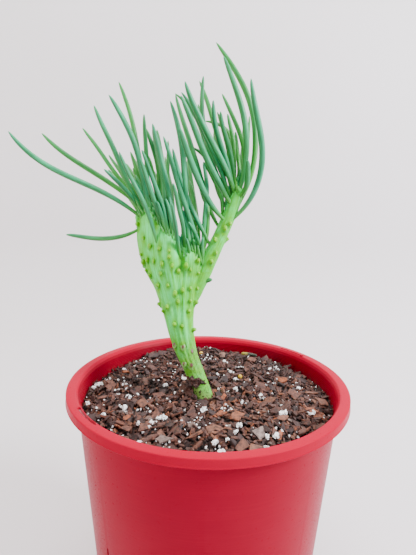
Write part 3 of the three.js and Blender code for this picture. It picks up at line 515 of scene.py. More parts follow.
rise = add(scatter, "CombineXYZ", {2: draw(given["Low"], given["High"], 1)})
lifted = add(scatter, "GeometryNodeSetPosition", {"Geometry": dots, "Offset": rise})
lean = add(scatter, "Math", {"operation": "MULTIPLY", 0: given["Tilt"], 1: -1})
euler = add(scatter, "CombineXYZ", {
    0: draw(lean, given["Tilt"], 2), 1: draw(lean, given["Tilt"], 3), 2: draw(0, 2 * math.pi, 4)})
size = add(scatter, "Math", {
    "operation": "MULTIPLY", 0: draw(given["Smallest"], given["Largest"], 5), 1: room})
kinds = add(scatter, "GeometryNodeCollectionInfo", {
    "Collection": given["Bits"], "Separate Children": True, "Reset Children": True})
laid = add(scatter, "GeometryNodeInstanceOnPoints", {
    "Points": lifted, "Instance": kinds, "Pick Instance": True,
    "Rotation": euler, "Scale": size})
tint = add(scatter, "Math", {"operation": "MULTIPLY", 0: draw(0, 1, 6), 1: shade})
toned = add(scatter, "GeometryNodeStoreNamedAttribute", {
    "data_type": "FLOAT", "domain": "INSTANCE", "Geometry": laid, "Name": "tone", "Value": tint})
real = add(scatter, "GeometryNodeRealizeInstances", {"Geometry": toned})
coloured = add(scatter, "GeometryNodeSetMaterial", {"Geometry": real, "Material": given["Material"]})
add(scatter, "NodeGroupOutput", {"Geometry": coloured})


def scattered(name, group, material, reach, clumps=0, forward=0, **numbers):
    """Bits laid on the mix out to this radius, smaller by the wall, none on the stem or the shed
    leaf. With clumps, a size in millimetres, they gather in patches; with forward, that share of
    them is missing from the back, where the mix is finer and darker."""
    points, faces = lathe([(reach * k / 60, MIX_LEVEL) for k in range(61)], 96)
    x, y = points[:, 0], points[:, 1]
    points[:, 2] = mix_height(x, y)
    ground = mesh_object(name, points, faces, material)
    run = SHED_TO - SHED_FROM
    along = np.clip((points[:, :2] - SHED_FROM) @ run / (run @ run), 0, 1)
    from_leaf = np.linalg.norm(points[:, :2] - SHED_FROM - along[:, None] * run, axis=1)
    from_stem = np.hypot(x - STEM_X, y - STEM_Y)
    open_ground = ((from_leaf > 4.2) & (from_stem > 7.5)) * (1 - forward * np.clip((y + 30) / 70, 0, 1))
    if clumps:
        patches = [noise.noise(Vector((a / clumps, b / clumps, 7.5))) for a, b in zip(x, y)]
        open_ground *= np.clip(2.6 * np.array(patches) - 0.1, 0.03, 1)
    room = np.clip((95 - np.hypot(x, y)) / 10, 0.45, 1)
    shade = 1 - 0.4 * np.clip((y + 20) / 90, 0, 1)
    mark(ground, open_ground=open_ground, room=room, shade=shade)
    maker = ground.modifiers.new("scatter", "NODES")
    maker.node_group = scatter
    numbers = {"Bits": group, "Material": material, **numbers}
    for item in scatter.interface.items_tree:
        if item.in_out == "INPUT" and item.name in numbers:
            maker[item.identifier] = numbers[item.name]
    bake(ground)
    # what reaches the wall is pressed flat against it
    corners = corner_values(ground, "co") * 1000
    out = np.hypot(corners[:, 0], corners[:, 1])
    corners[:, :2] *= np.minimum(1, (inner_at(corners[:, 2]) - 0.2) / np.maximum(out, 1))[:, None]
    ground.data.vertices.foreach_set("co", (corners * 0.001).ravel())
    for piece in list(group.objects):
        bpy.data.objects.remove(piece)
    bpy.data.collections.remove(group)
    on_mix(ground)


def corner_values(piece, what):
    """The places ("co") or normals ("normal") of a piece's corners"""
    values = np.empty(len(piece.data.vertices) * 3)
    piece.data.vertices.foreach_get(what, values)
    return values.reshape(-1, 3)


def mark(piece, **fields):
    """Stores a number or a vector for each corner of a piece, by name"""
    for label, values in fields.items():
        kind, part = ("FLOAT", "value") if np.ndim(values) == 1 else ("FLOAT_VECTOR", "vector")
        piece.data.attributes.new(label, kind, "POINT").data.foreach_set(part, np.ravel(values))


def on_mix(piece):
    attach(piece, "root")
    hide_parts("potting_mix")


# Pine bark: reddish to grey brown, each flake with its own tone, fibrous and dull
bark, tree, place = blank("pine_bark")
tone = add(tree, "Attribute", {"attribute_name": "tone"})
ramp = add(tree, "ValToRGB", {"Fac": tone, "tones": (
    (0, "#200d08"), (0.3, "#3c1a10"), (0.55, "#542c1e"), (0.75, "#683a28"), (0.86, "#7c4c36"),
    (0.92, "#94481c"), (0.96, "#6a544c"), (1, "#86726a"))})
fibre = add(tree, "TexNoise", {"Vector": place, "Scale": 1000 / 2.2, "Detail": 5, "Roughness": 0.6})
patch = add(tree, "TexNoise", {"Vector": place, "Scale": 1000 / 6, "Detail": 2})
dark = add(tree, "MapRange", {0: fibre, 1: 0.35, 2: 0.6, 3: 0.8, 4: 0})
shade = add(tree, "Mix", {0: dark, 6: ramp, 7: "#1a0b07"})
dry = add(tree, "MapRange", {0: patch, 1: 0.52, 2: 0.72, 3: 0, 4: 0.3})
shade = add(tree, "Mix", {0: dry, 6: shade, 7: "#745042"})
relief = add(tree, "Bump", {"Height": fibre, "Distance": 0.0004, "Strength": 0.7})
add(tree, "OutputMaterial", {"Surface": add(tree, "BsdfPrincipled", {
    "Base Color": shade, "Roughness": 0.72, "Normal": relief})})

# Perlite: white, porous, slightly grey where compost clings
perlite, tree, place = blank("perlite")
pores = add(tree, "TexVoronoi", {"Vector": place, "Scale": 1000 / 0.6})
grime = add(tree, "TexNoise", {"Vector": place, "Scale": 1000 / 2.5, "Detail": 4})
dirty = add(tree, "MapRange", {0: grime, 1: 0.55, 2: 0.75, 3: 0, 4: 0.6})
white = add(tree, "Mix", {0: dirty, 6: "#f2f0ee", 7: "#9a8478"})
relief = add(tree, "Bump", {"Height": pores, "Distance": 0.0003, "Strength": 0.7})
add(tree, "OutputMaterial", {"Surface": add(tree, "BsdfPrincipled", {
    "Base Color": white, "Roughness": 0.8, "Subsurface Weight": 0.1,
    "Subsurface Radius": (0.001, 0.001, 0.001), "Normal": relief})})

on_mix(bed)
scattered("mix_crumbs", bits("crumb", 4, ball_shape(1, 0.9), 40), compost, 90,
          Spacing=0.0026, Cover=0.6, Smallest=0.3, Largest=1.0, Tilt=3.0, Low=-0.0006, High=0.0008, Seed=3)
scattered("mix_splinters", bits("splinter", 8, splinter_shape, 60), bark, 90,
          Spacing=0.0019, Cover=0.9, Smallest=0.12, Largest=0.5, Tilt=1.1, Low=-0.0004, High=0.0018, Seed=12)
scattered("mix_small_bark", bits("chip", 8, bark_shape, 30), bark, 89.5, 0, 0.35,
          Spacing=0.0034, Cover=0.85, Smallest=0.25, Largest=0.8, Tilt=0.95, Low=0, High=0.0026, Seed=8)
scattered("mix_bark", bits("flake", 12, bark_shape, 10), bark, 88.5, 0, 0.6,
          Spacing=0.0078, Cover=0.75, Smallest=0.6, Largest=1.3, Tilt=0.6, Low=0.0008, High=0.0034, Seed=5)
scattered("mix_perlite", bits("grain", 8, ball_shape(2, 1.3), 70), perlite, 89, 7,
          Spacing=0.0017, Cover=0.5, Smallest=0.25, Largest=0.85, Tilt=3.0, Low=0.0004, High=0.0026, Seed=21)

# Flakes that stand out: x, y, length, width, bearing and lean in degrees, tone
FLAKES = [
    [-71, -5, 8, 9, 0, 35, 0.72], [-35, -14, 10.5, 7, 0, 15, 0.62], [-44, -29, 7.5, 7, 0, 30, 0.8],
    [-52, -51, 11, 4.5, -10, 5, 0.66], [-51, -64, 10, 8, -10, 10, 0.64], [-25, -68, 11.5, 7, 0, 20, 0.97],
    [-24, -77, 10, 6, 0, 25, 0.6], [-34, -67, 13, 4, 40, 10, 0.5], [-9, -55, 6.5, 6.5, 0, 20, 0.96],
    [4, -57, 12, 8, 5, 12, 0.84], [9, -37, 9.5, 5, 20, 20, 0.91], [19, -44, 9.5, 9, 10, 25, 0.89],
    [31, -59, 9, 9.5, -15, 30, 1], [20, -71, 9, 9, 10, 28, 0.76], [29, -72, 10.5, 7.5, -20, 15, 0.85],
    [57, 13, 8, 6.5, -30, 25, 0.92], [11, -18, 4.5, 6, 0, 35, 0.92], [80, -13, 12, 8, -35, 15, 0.8],
    [62, -8, 10, 10, 0, 20, 0.7], [70, -27, 10, 5, -10, 10, 0.9], [7, 0, 6.5, 7, 0, 20, 0.5],
    [37, 53, 8, 6, -10, 20, 0.76], [76, 1, 14, 3, -2, 0, 0.8], [73, -43, 12, 8, 30, 8, 0.62],
    [12, 66, 6, 6, 0, 30, 0.95], [-66, 23, 6.5, 3, 0, 20, 0.91]]
# Large grains of perlite: x, y, radius
GRAINS = [
    [-84, 6, 2.4], [-81.5, 8, 1.8], [-85.5, 3.5, 1.6], [-84, -20, 1.6], [-75, -29, 1.4], [-68, -38, 1.6],
    [-54, -36, 1.8], [-56.5, -34.5, 1.3], [-55, -18, 2], [-70, 36, 1.5], [-32.5, 3.5, 1.9], [-19, 11, 1.8],
    [-2, -35, 2.1], [-27, -46, 2], [-31, -48, 1.5], [-34, -54, 1.5], [-42, -54, 1.7], [-40, -70, 1.8],
    [49.5, -36.5, 2.6], [37, -11.5, 2.2], [39.5, -12.5, 1.5], [20.5, -5.5, 1.8], [20, 13.5, 2],
    [17, 27, 1.6], [48, 27, 1.3], [68, 3, 1.4], [72, -29, 1.8], [69, -31.5, 1.4], [19.5, -53, 1.9],
    [17, -60, 1.5], [12, -67, 1.4], [4.5, -70, 2], [8, -76, 2.5], [41, -61, 2], [36.5, -62, 1.6],
    [35, -71, 1.6], [13, 49, 1.8]]


def marked(name, parts, material, tones):
    """A mesh from several parts, with a tone for each"""
    piece = mesh_object(name, *merged(parts), material, smooth=False)
    mark(piece, tone=np.repeat(np.array(tones, float), [len(points) for points, _ in parts]))
    return piece


def merged(parts):
    """Several sets of points and faces as one"""
    points, faces, start = [], [], 0
    for some_points, some_faces in parts:
        points.append(some_points)
        faces += [[corner + start for corner in face] for face in some_faces]
        start += len(some_points)
    return np.concatenate(points), faces


flakes = []
for k, (x, y, length, width, bearing, lean, tone) in enumerate(FLAKES):
    points, faces = bark_shape(np.random.default_rng(300 + k))
    points = np.array(points)
    points *= (length / np.ptp(points[:, 0]), width / np.ptp(points[:, 1]), 1)
    turn = Matrix.Rotation(math.radians(lean), 3, "X") @ Matrix.Rotation(math.radians(bearing), 3, "Z")
    lift = 2.2 + width / 4 * math.sin(math.radians(lean))
    flakes.append((points @ np.array(turn).T + (x, y, mix_height(x, y) + lift), faces))
on_mix(marked("mix_flakes", flakes, bark, [flake[6] for flake in FLAKES]))
grains = []
for k, (x, y, radius) in enumerate(GRAINS):
    for n in range(3):
        points, faces = ball_shape(2, 1.1)(np.random.default_rng(400 + 3 * k + n))
        shift = np.random.default_rng(500 + 3 * k + n).uniform(-0.6, 0.6, 3) * radius * (1, 1, 0.4)
        at = np.array((x, y, mix_height(x, y) + 2 + radius / 2)) + shift
        grains.append((np.array(points) * radius * (0.72 - 0.12 * n) + at, faces))
on_mix(marked("mix_large_perlite", grains, perlite, [0] * len(grains)))

# Slow-release beads of fertiliser, translucent yellow
BEADS, BEAD_RADIUS = [[25, 20], [-7, 68]], 1.5
yellow, tree, place = blank("fertiliser_bead")
cloud = add(tree, "TexNoise", {"Vector": place, "Scale": 1000 / 0.8, "Detail": 2})
colour = add(tree, "Mix", {0: cloud, 6: "#b98a10", 7: "#d8b83c"})
add(tree, "OutputMaterial", {"Surface": add(tree, "BsdfPrincipled", {
    "Base Color": colour, "Roughness": 0.3, "Subsurface Weight": 0.3,
    "Subsurface Radius": (0.002, 0.001, 0.0005)})})
beads = []
for k, (x, y) in enumerate(BEADS):
    points, faces = ball_shape(3, 0.08)(np.random.default_rng(600 + k))
    beads.append((np.array(points) * BEAD_RADIUS + (x, y, mix_height(x, y) + 2.4), faces))
on_mix(mesh_object("mix_beads", *merged(beads), yellow))


# Crested plant, stem: a trunk that flattens into a fan whose left end curls round behind,
# with a round side shoot, all one growth. Its parts are melted together by a fine remesh.
FOOT_Z = 142
EDGE_LEVEL = 287
STEM_OUTLINE = [
    [FOOT_Z, -6, 4], [160, -9, 5], [180, -10, 4], [197, -16, -2.5], [211, -23, -8],
    [223, -28, -10.5], [238, -32.5, -11.5], [256, -39.5, -9], [267, -46, -6.5],
    [280, -51.5, -4], [297, -54, -3], [315, -54, -3]]
STEM_HALF_DEPTH = [
    [FOOT_Z, 5], [160, 6.5], [182, 7], [200, 7.2], [225, 8],
    [245, 8.5], [262, 8], [280, 6.8], [295, 5.5], [312, 4.5]]
STEM_LEAN = [[FOOT_Z, -13], [182, STEM_Y], [200, -9.5], [225, -6], [250, -3], [270, -1], [300, 0]]
EDGE_HEIGHT = [
    [-1, 303], [-0.84, 309], [-0.57, 312], [-0.29, 303], [-0.06, 297], [0.14, 294], [0.32, 285],
    [0.42, 282], [0.56, 286], [0.8, 283], [1, 277]]
FAN_FOLD = [[-1, 9], [-0.8, 5], [-0.5, -1], [-0.2, -5], [0.2, -6], [0.6, -3.5], [1, 0]]
# Swellings and clefts of the fan's front: x, height, half width, half height, push forward
FORMS = [
    [-29, 284, 7, 12, 2.4], [-46, 296, 4.5, 11, 1.4], [-38, 301, 2.2, 11, -2.6], [-20.3, 280, 2.2, 9, -4],
    [-18.8, 268, 0.9, 8, -1.6], [-11, 277, 5, 8, 2], [-47, 293, 1.5, 2, -1.5], [-13, 262, 2, 12, 0.9],
    [-17.5, 236, 1.6, 20, 0.8], [-27, 250, 2.6, 14, 0.7]]
# The curl's growing edge: share of its length, x, y, height
CURL_EDGE = [
    [-1, -53, 7, 304], [-0.5, -51, 13, 312], [0, -44, 17.5, 315], [0.5, -35.5, 17, 309], [1, -29, 13, 299]]
# The side shoot: x, y, height, radius
SHOOT = [
    [-17, -2, 240, 4], [-7, -0.5, 265, 5.8], [-0.5, 1, 280, 5.5], [5, 3, 292, 4.9], [10, 4, 304, 4.8],
    [14.5, 4.5, 316, 4.5], [17.5, 5, 325, 3.6], [18.6, 5.2, 329, 2]]


def follow(pairs, at):
    """Smooth interpolation through [position, value] pairs, for one position or many"""
    spots, values = np.array(pairs, float).T
    at = np.clip(np.asarray(at, float), spots[0], spots[-1])
    i = np.clip(np.searchsorted(spots, at, side="right") - 1, 0, len(spots) - 2)
    before, after = np.maximum(i - 1, 0), np.minimum(i + 2, len(spots) - 1)
    span = spots[i + 1] - spots[i]
    t = (at - spots[i]) / span
    slope1 = (values[i + 1] - values[before]) / (spots[i + 1] - spots[before]) * span
    slope2 = (values[after] - values[i]) / (spots[after] - spots[i]) * span
    return ((2 * t ** 3 - 3 * t ** 2 + 1) * values[i] + (t ** 3 - 2 * t ** 2 + t) * slope1
            + (3 * t ** 2 - 2 * t ** 3) * values[i + 1] + (t ** 3 - t ** 2) * slope2)


def trace(table, by, of, at):
    """One column of a table followed against another"""
    return follow([[row[by], row[of]] for row in table], at)


def ease(start, end, at):
    t = np.clip((at - start) / (end - start), 0, 1)
    return t * t * (3 - 2 * t)


def outline(z):
    """Left and right edge of the fan at a height"""
    return trace(STEM_OUTLINE, 0, 1, z), trace(STEM_OUTLINE, 0, 2, z)


def fan_middle(across, z):
    left, right = outline(z)
    x = (left + right) / 2 + across * (right - left) / 2
    y = follow(STEM_LEAN, z) + ease(235, 300, z) * follow(FAN_FOLD, across)
    return np.stack([x, y, z + 0 * x], -1)


def forms(x, z):
    """How far the fan's front is pushed out by its swellings and clefts"""
    return sum(push * np.exp(-((x - at) / wide) ** 2 - ((z - height) / tall) ** 2)
               for at, height, wide, tall, push in FORMS)


def fan_skin(turn, z, grow=0):
    """Skin of the fan: turn 0 is its right edge, a quarter its back, three quarters its front"""
    across, side = np.cos(2 * math.pi * turn), np.sin(2 * math.pi * turn)
    point = fan_middle(across, z)
    flutes = ease(178, 215, z) * np.abs(side) * 0.45 * np.cos(across * math.pi * 5)
    point[..., 1] += side * (follow(STEM_HALF_DEPTH, z) + grow) + np.sign(side) * flutes
    point[..., 1] -= np.sqrt(np.clip(-side, 0, 1)) * forms(point[..., 0], z)
    point[..., 0] += across * grow
    return point


def curl_edge(place):
    return np.stack([trace(CURL_EDGE, 0, k, place) for k in (1, 2, 3)], -1)


def shoot_middle(z):
    return np.stack([trace(SHOOT, 2, 0, z), trace(SHOOT, 2, 1, z), z], -1)


def shoot_radius(z):
    return trace(SHOOT, 2, 3, z)


def closed_skin(rings):
    """Points and faces of a closed skin through rings, with a point in the middle of each end"""
    rings = np.asarray(rings)
    levels, sides, _ = rings.shape
    points = np.concatenate([rings.reshape(-1, 3), rings[:1].mean(1), rings[-1:].mean(1)])
    faces = []
    for i in range(levels - 1):
        for k in range(sides):
            n = (k + 1) % sides
            faces.append((i * sides + k, i * sides + n, (i + 1) * sides + n, (i + 1) * sides + k))
    for k in range(sides):
        n = (k + 1) % sides
        faces.append((n, k, levels * sides))
        faces.append(((levels - 1) * sides + k, (levels - 1) * sides + n, levels * sides + 1))
    return points, faces


def round_skin(middles, radii, sides):
    """Rings about a line of middles, carried along it without twist"""
    middles = np.asarray(middles, float)
    along = np.gradient(middles, axis=0)
    along /= np.linalg.norm(along, axis=1, keepdims=True)
    over = np.cross((0, 1, 0), along)
    over /= np.linalg.norm(over, axis=1, keepdims=True)
    under = np.cross(along, over)
    angle = 2 * math.pi * np.arange(sides) / sides
    ring = np.cos(angle)[None, :, None] * over[:, None] + np.sin(angle)[None, :, None] * under[:, None]
    return middles[:, None] + ring * np.asarray(radii)[:, None, None]


FAN_SIDES, FAN_LEVELS, CURL_SIDES, CURL_LEVELS, SHOOT_SIDES, SHOOT_LEVELS = 160, 90, 72, 40, 40, 60
DOME_FROM, DOME_HEIGHT, DOME_INSET, FLARE_FROM = 276, 12, 3.6, 222
CURL_X, CURL_Y, CURL_FOOT, CURL_TOP, CURL_HALF_DEPTH = -27, -1, 243, 303, (6, 4.2)
SHOOT_FOOT, SHOOT_END = 240, 329
turns = np.arange(FAN_SIDES) / FAN_SIDES
to_edge = follow(EDGE_HEIGHT, np.cos(2 * math.pi * turns)) - EDGE_LEVEL
fan_rings = []
for share in np.linspace(0, 1, FAN_LEVELS):
    height = FOOT_Z + (EDGE_LEVEL - FOOT_Z) * share
    # drawn in towards the edge, so that it is domed
    drawn = DOME_INSET * (1 - math.sqrt(1 - np.clip((height - DOME_FROM) / DOME_HEIGHT, 0, 1) ** 2))
    fan_rings.append(fan_skin(turns, height + to_edge * ease(FLARE_FROM, EDGE_LEVEL, height), -drawn))
fan_rings.append(fan_skin(turns, EDGE_LEVEL + 0.9 + to_edge, -DOME_INSET))
curl_rings = []
turns = 2 * math.pi * np.arange(CURL_SIDES) / CURL_SIDES
place, side = np.cos(turns), np.sin(turns)
edge = curl_edge(place)
run = curl_edge(np.clip(place + 0.02, -1, 1)) - curl_edge(np.clip(place - 0.02, -1, 1))
outward = np.stack([-run[:, 1], run[:, 0]], -1)
outward /= np.linalg.norm(outward, axis=1, keepdims=True)
low, high = CURL_HALF_DEPTH
# two more rings, drawn in, round off the curl's edge
for share, inset in [(k / CURL_LEVELS, 0) for k in range(CURL_LEVELS + 1)] + [(1.02, 1), (1.025, 2.4)]:
    out = ease(0, 1, share)
    half = (low + (high - low) * share - inset) * side
    x = (CURL_X + 3 * place) * (1 - out) + edge[:, 0] * out + half * outward[:, 0] * out
    y = CURL_Y * (1 - out) + edge[:, 1] * out + half * (1 - out + outward[:, 1] * out)
    z = CURL_FOOT + (CURL_TOP - CURL_FOOT) * share + (edge[:, 2] - CURL_TOP) * share ** 2
    curl_rings.append(np.stack([x, y, z], -1))
shoot_z = np.concatenate([np.linspace(SHOOT_FOOT, SHOOT_END - 2, SHOOT_LEVELS), [SHOOT_END - 0.8, SHOOT_END]])
stem_points, stem_faces = merged([
    closed_skin(fan_rings), closed_skin(curl_rings),
    closed_skin(round_skin(shoot_middle(shoot_z), shoot_radius(shoot_z), SHOOT_SIDES))])

# Skin of a chalk stick's stem: a pale mint bloom on fine ridges that run with the growth,
# yellow-green in the grooves between them and round the nubs, specked with soil at its foot
stem_skin, tree, place = blank("chalk_stick_stem_skin")
grow_lines = add(tree, "Attribute", {"attribute_name": "flow"}).outputs["Vector"]
streak = add(tree, "TexNoise", {"Vector": grow_lines, "Scale": 1.3, "Detail": 4, "Roughness": 0.6})
ridge, warm, soil = (
    add(tree, "Attribute", {"attribute_name": label}) for label in ("ridge", "warm", "soil"))
bloom = add(tree, "Math", {"operation": "ADD", 0: streak, 1: ridge})
blotch = add(tree, "TexNoise", {"Vector": place, "Scale": 1000 / 11, "Detail": 5})
bloom = add(tree, "Math", {"operation": "ADD", 0: bloom, 1: blotch})
bloom = add(tree, "MapRange", {0: bloom, 1: 1.18, 2: 1.66})
green = add(tree, "Mix", {0: bloom, 6: "#48c014", 7: "#46f07c"})
pale = add(tree, "MapRange", {0: streak, 1: 0.54, 2: 0.72, 3: 0, 4: 0.3})
green = add(tree, "Mix", {0: pale, 6: green, 7: "#84f4a8"})
cloud = add(tree, "TexNoise", {"Vector": place, "Scale": 1000 / 7, "Detail": 4})
warmth = add(tree, "Math", {"operation": "MULTIPLY", 0: warm, 1: cloud})
warmth = add(tree, "Math", {"operation": "MULTIPLY", 0: warmth, 1: 1.7, "use_clamp": True})
green = add(tree, "Mix", {0: warmth, 6: green, 7: "#5cb40a"})
green = add(tree, "Mix", {0: soil, 6: green, 7: "#6c9440"})
grit = add(tree, "TexNoise", {"Vector": place, "Scale": 1000 / 1.6, "Detail": 3})
grit = add(tree, "MapRange", {0: grit, 1: 0.52, 2: 0.57})
soil = add(tree, "Math", {"operation": "MULTIPLY", 0: soil, 1: grit})
green = add(tree, "Mix", {0: soil, 6: green, 7: "#2a1c10"})
fine = add(tree, "TexNoise", {"Vector": place, "Scale": 1000 / 0.7, "Detail": 2})
relief = add(tree, "Bump", {"Height": streak, "Distance": 0.0008, "Strength": 0.7})
relief = add(tree, "Bump", {
    "Height": fine, "Distance": 0.00012, "Strength": 0.45, "Normal": relief})
add(tree, "OutputMaterial", {"Surface": add(tree, "BsdfPrincipled", {
    "Base Color": green, "Roughness": 0.5, "Subsurface Weight": 0.15,
    "Subsurface Radius": (0.001, 0.003, 0.001), "Specular IOR Level": 0.25, "Normal": relief})})


def on_plant(piece):
    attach(piece, "root")
    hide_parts("crested_plant")


stem = mesh_object("plant_stem", stem_points, stem_faces, stem_skin)
melt = stem.modifiers.new("melt", "REMESH")
melt.mode = "VOXEL"
melt.voxel_size = 0.00055
melt.use_smooth_shade = True
soften = stem.modifiers.new("soften", "SMOOTH")
soften.factor, soften.iterations = 0.5, 6
bake(stem)
on_plant(stem)

# Nubs: the stumps of shed leaves, each a low cone with a rounded, scarred end. They stand
# on the fan's front where the photo shows them, and by rule on its back.
FRONT_NUBS = [
    [-52, 301], [-47, 292], [-42, 287], [-35, 286], [-28, 285], [-28, 281], [-49, 280], [-47, 275],
    [-44, 277], [-39, 277], [-33, 276], [-26, 275], [-17, 275], [-9, 278], [-14, 272], [-22, 271], [-34, 269],
    [-45, 269], [-42, 266], [-9, 269], [-36, 260], [-29, 261], [-14, 259], [-19, 258], [-10, 258],
    [-24, 256], [-22, 250], [-14, 250], [-29, 246], [-36, 246], [-11, 248], [-15, 243], [-32, 242],
    [-24, 234], [-19, 233], [-12, 229], [-24, 220], [-18, 219], [-12, 215], [-17, 207], [-12, 206]]
SHOOT_NUBS = [[0, 277], [3, 283], [3, 292], [10, 292], [9, 300], [12, 303]]
BACK_NUBS, BACK_NUB_HEIGHT = 16, (205, 290)
FAN_LEAN = [[-54, -0.95], [-44, -0.5], [-30, -0.25], [-8, -0.12], [20, 0.15]]
NUB_PROFILE = [
    (1.9, -0.9), (1.4, -0.2), (1.14, 0.5), (1.02, 1.2), (0.94, 1.8), (0.74, 2.25), (0.4, 2.45),
    (0.2, 2.4), (0, 2.35)]
OLD_NUBS_BELOW = 222


def spread(index, series):
    """Evenly spread numbers from 0 to 1 in place of random draws, as in the part's source"""
    return (0.5 + index * 0.6180339887 + series * 0.7548776662 + index * series * 0.3247179572) % 1


def fan_across(x, z):
    left, right = outline(z)
    return float(np.clip((2 * x - left - right) / (right - left), -0.97, 0.97))


def fan_nub(across, z, face):
    """Foot and direction of a nub on the fan's front (-1) or back (1)"""
    left, right = outline(z)
    outward = face * math.sqrt(1 - across ** 2) / follow(STEM_HALF_DEPTH, z)
    foot = fan_skin(face * math.acos(across) / (2 * math.pi), z)
    return foot, np.array([across * 2 / (right - left), outward, 0])


def shoot_nub(x, z):
    middle, radius = shoot_middle(float(z)), shoot_radius(z)
    side = float(np.clip((x - middle[0]) / radius, -1, 1))
    outward = np.array([side, -math.sqrt(1 - side ** 2), 0])
    return middle + outward * radius, outward


nub_feet = [fan_nub(fan_across(x, z), z, -1) for x, z in FRONT_NUBS]
nub_feet += [shoot_nub(x, z) for x, z in SHOOT_NUBS]
for k in range(BACK_NUBS):
    low, high = BACK_NUB_HEIGHT
    nub_feet.append(fan_nub(1.7 * spread(k, 14) - 0.85, low + (high - low) * (k + 0.5) / BACK_NUBS, 1))
nubs, nub_tones, nub_ages = [], [], []
for k, (foot, outward) in enumerate(nub_feet):
    ahead = Vector(outward).normalized() + Vector((0, 0, 0.45))
    turn = ahead.to_track_quat("Z", "Y").to_matrix()
    points, faces = lathe(NUB_PROFILE[::-1], 14)
    size = 0.85 + 0.5 * spread(k, 40)
    height = points[:, 2] / 2.5
    old = foot[2] < OLD_NUBS_BELOW
    points = points * (size, size * (1 + 0.6 * spread(k, 41)), size * (0.3 if old else 1))
    nubs.append((points @ np.array(turn).T + foot, [face[::-1] for face in faces]))
    nub_tones.append(np.clip(height, 0, 1))
    nub_ages.append(np.full(len(points), 1.0 if old else 0.0))

# Buds: leaves not yet grown, crowded along the growing edges of the fan and its curl
BUDS, BUD_LENGTH, BUD_THICKNESS, BUD_SINK, BUD_SIDES = 230, (1.8, 6), (0.9, 1.6), 1.2, 9
BUD_TAPER = np.array([1, 1.05, 0.95, 0.72, 0.42, 0.12])
bud_feet = []
for k in range(BUDS):
    if k % 3:
        place = 1.86 * spread(k, 60) - 0.9
        foot = fan_middle(place, float(follow(EDGE_HEIGHT, place)) + 0.6)
        half_depth = follow(STEM_HALF_DEPTH, EDGE_LEVEL)
        depth = 2.2 * (spread(k, 61) - 0.45) * half_depth * math.sqrt(1 - place ** 2)
        foot += (0, depth, -0.28 * abs(depth))
    else:
        place = 1.9 * spread(k, 62) - 0.95
        foot = curl_edge(place) + (0, 5 * (spread(k, 63) - 0.5), 0.4)
    bud_feet.append(foot)
buds, bud_tones = [], []
for k, foot in enumerate(bud_feet):
    length = BUD_LENGTH[0] + (BUD_LENGTH[1] - BUD_LENGTH[0]) * spread(k, 64) ** 2
    thick = BUD_THICKNESS[0] + (BUD_THICKNESS[1] - BUD_THICKNESS[0]) * spread(k, 65)
    lean = follow(FAN_LEAN, foot[0]) * 0.8 + 0.5 * (spread(k, 66) - 0.5)
    ahead = np.array([lean, 0.9 * (spread(k, 67) - 0.75), 1])
    ahead /= np.linalg.norm(ahead)
    t = np.array([0, 0.2, 0.45, 0.7, 0.88, 1])
    middles = foot + (t[:, None] * (length + BUD_SINK) - BUD_SINK) * ahead
    middles += t[:, None] ** 2 * (-0.1 * lean * length, 0, 0)
    buds.append(closed_skin(round_skin(middles, thick / 2 * BUD_TAPER, BUD_SIDES)))
    bud_tones.append(np.concatenate([np.repeat(t, BUD_SIDES), [0, 1]]))

# Bud: tender and pale, yellow-green at the foot and bluer with bloom at the tip
bud_skin, tree, place = blank("young_leaf_bud")
rise = add(tree, "Attribute", {"attribute_name": "rise"})
cloud = add(tree, "TexNoise", {"Vector": place, "Scale": 1000 / 4, "Detail": 2})
foot = add(tree, "Mix", {0: cloud, 6: "#3a8414", 7: "#48ac30"})
colour = add(tree, "Mix", {0: rise, 6: foot, 7: "#4cae64"})
grain = add(tree, "TexNoise", {"Vector": place, "Scale": 1000 / 0.6, "Detail": 2})
relief = add(tree, "Bump", {"Height": grain, "Distance": 0.0001, "Strength": 0.4})
add(tree, "OutputMaterial", {"Surface": add(tree, "BsdfPrincipled", {
    "Base Color": colour, "Roughness": 0.45, "Subsurface Weight": 0.2,
    "Subsurface Radius": (0.001, 0.002, 0.0006), "Normal": relief})})
bud_piece = mesh_object("plant_buds", *merged(buds), bud_skin)
mark(bud_piece, rise=np.concatenate(bud_tones))
on_plant(bud_piece)

# Nub: greener and yellower than the stem round it, with a small brown scar on the end
nub_skin, tree, place = blank("leaf_stump")
rise = add(tree, "Attribute", {"attribute_name": "rise"})
ramp = add(tree, "ValToRGB", {"Fac": rise, "tones": (
    (0, "#46b428"), (0.25, "#5aa806"), (0.6, "#6cb602"), (0.9, "#76c402"), (1, "#62ae02"))})
age = add(tree, "Attribute", {"attribute_name": "age"})
scar = add(tree, "MapRange", {0: rise, 1: 0.6, 2: 0.95})
aged = add(tree, "Math", {"operation": "MULTIPLY", 0: age, 1: scar})
colour = add(tree, "Mix", {0: age, 6: ramp, 7: "#6a9a48"})
colour = add(tree, "Mix", {0: aged, 6: colour, 7: "#5c3026"})
grain = add(tree, "TexNoise", {"Vector": place, "Scale": 1000 / 0.8, "Detail": 3})
relief = add(tree, "Bump", {"Height": grain, "Distance": 0.0002, "Strength": 0.5})
add(tree, "OutputMaterial", {"Surface": add(tree, "BsdfPrincipled", {
    "Base Color": colour, "Roughness": 0.45, "Subsurface Weight": 0.2,
    "Subsurface Radius": (0.002, 0.003, 0.001), "Normal": relief})})
nub_piece = mesh_object("plant_nubs", *merged(nubs), nub_skin)
mark(nub_piece, rise=np.concatenate(nub_tones), age=np.concatenate(nub_ages))
on_plant(nub_piece)

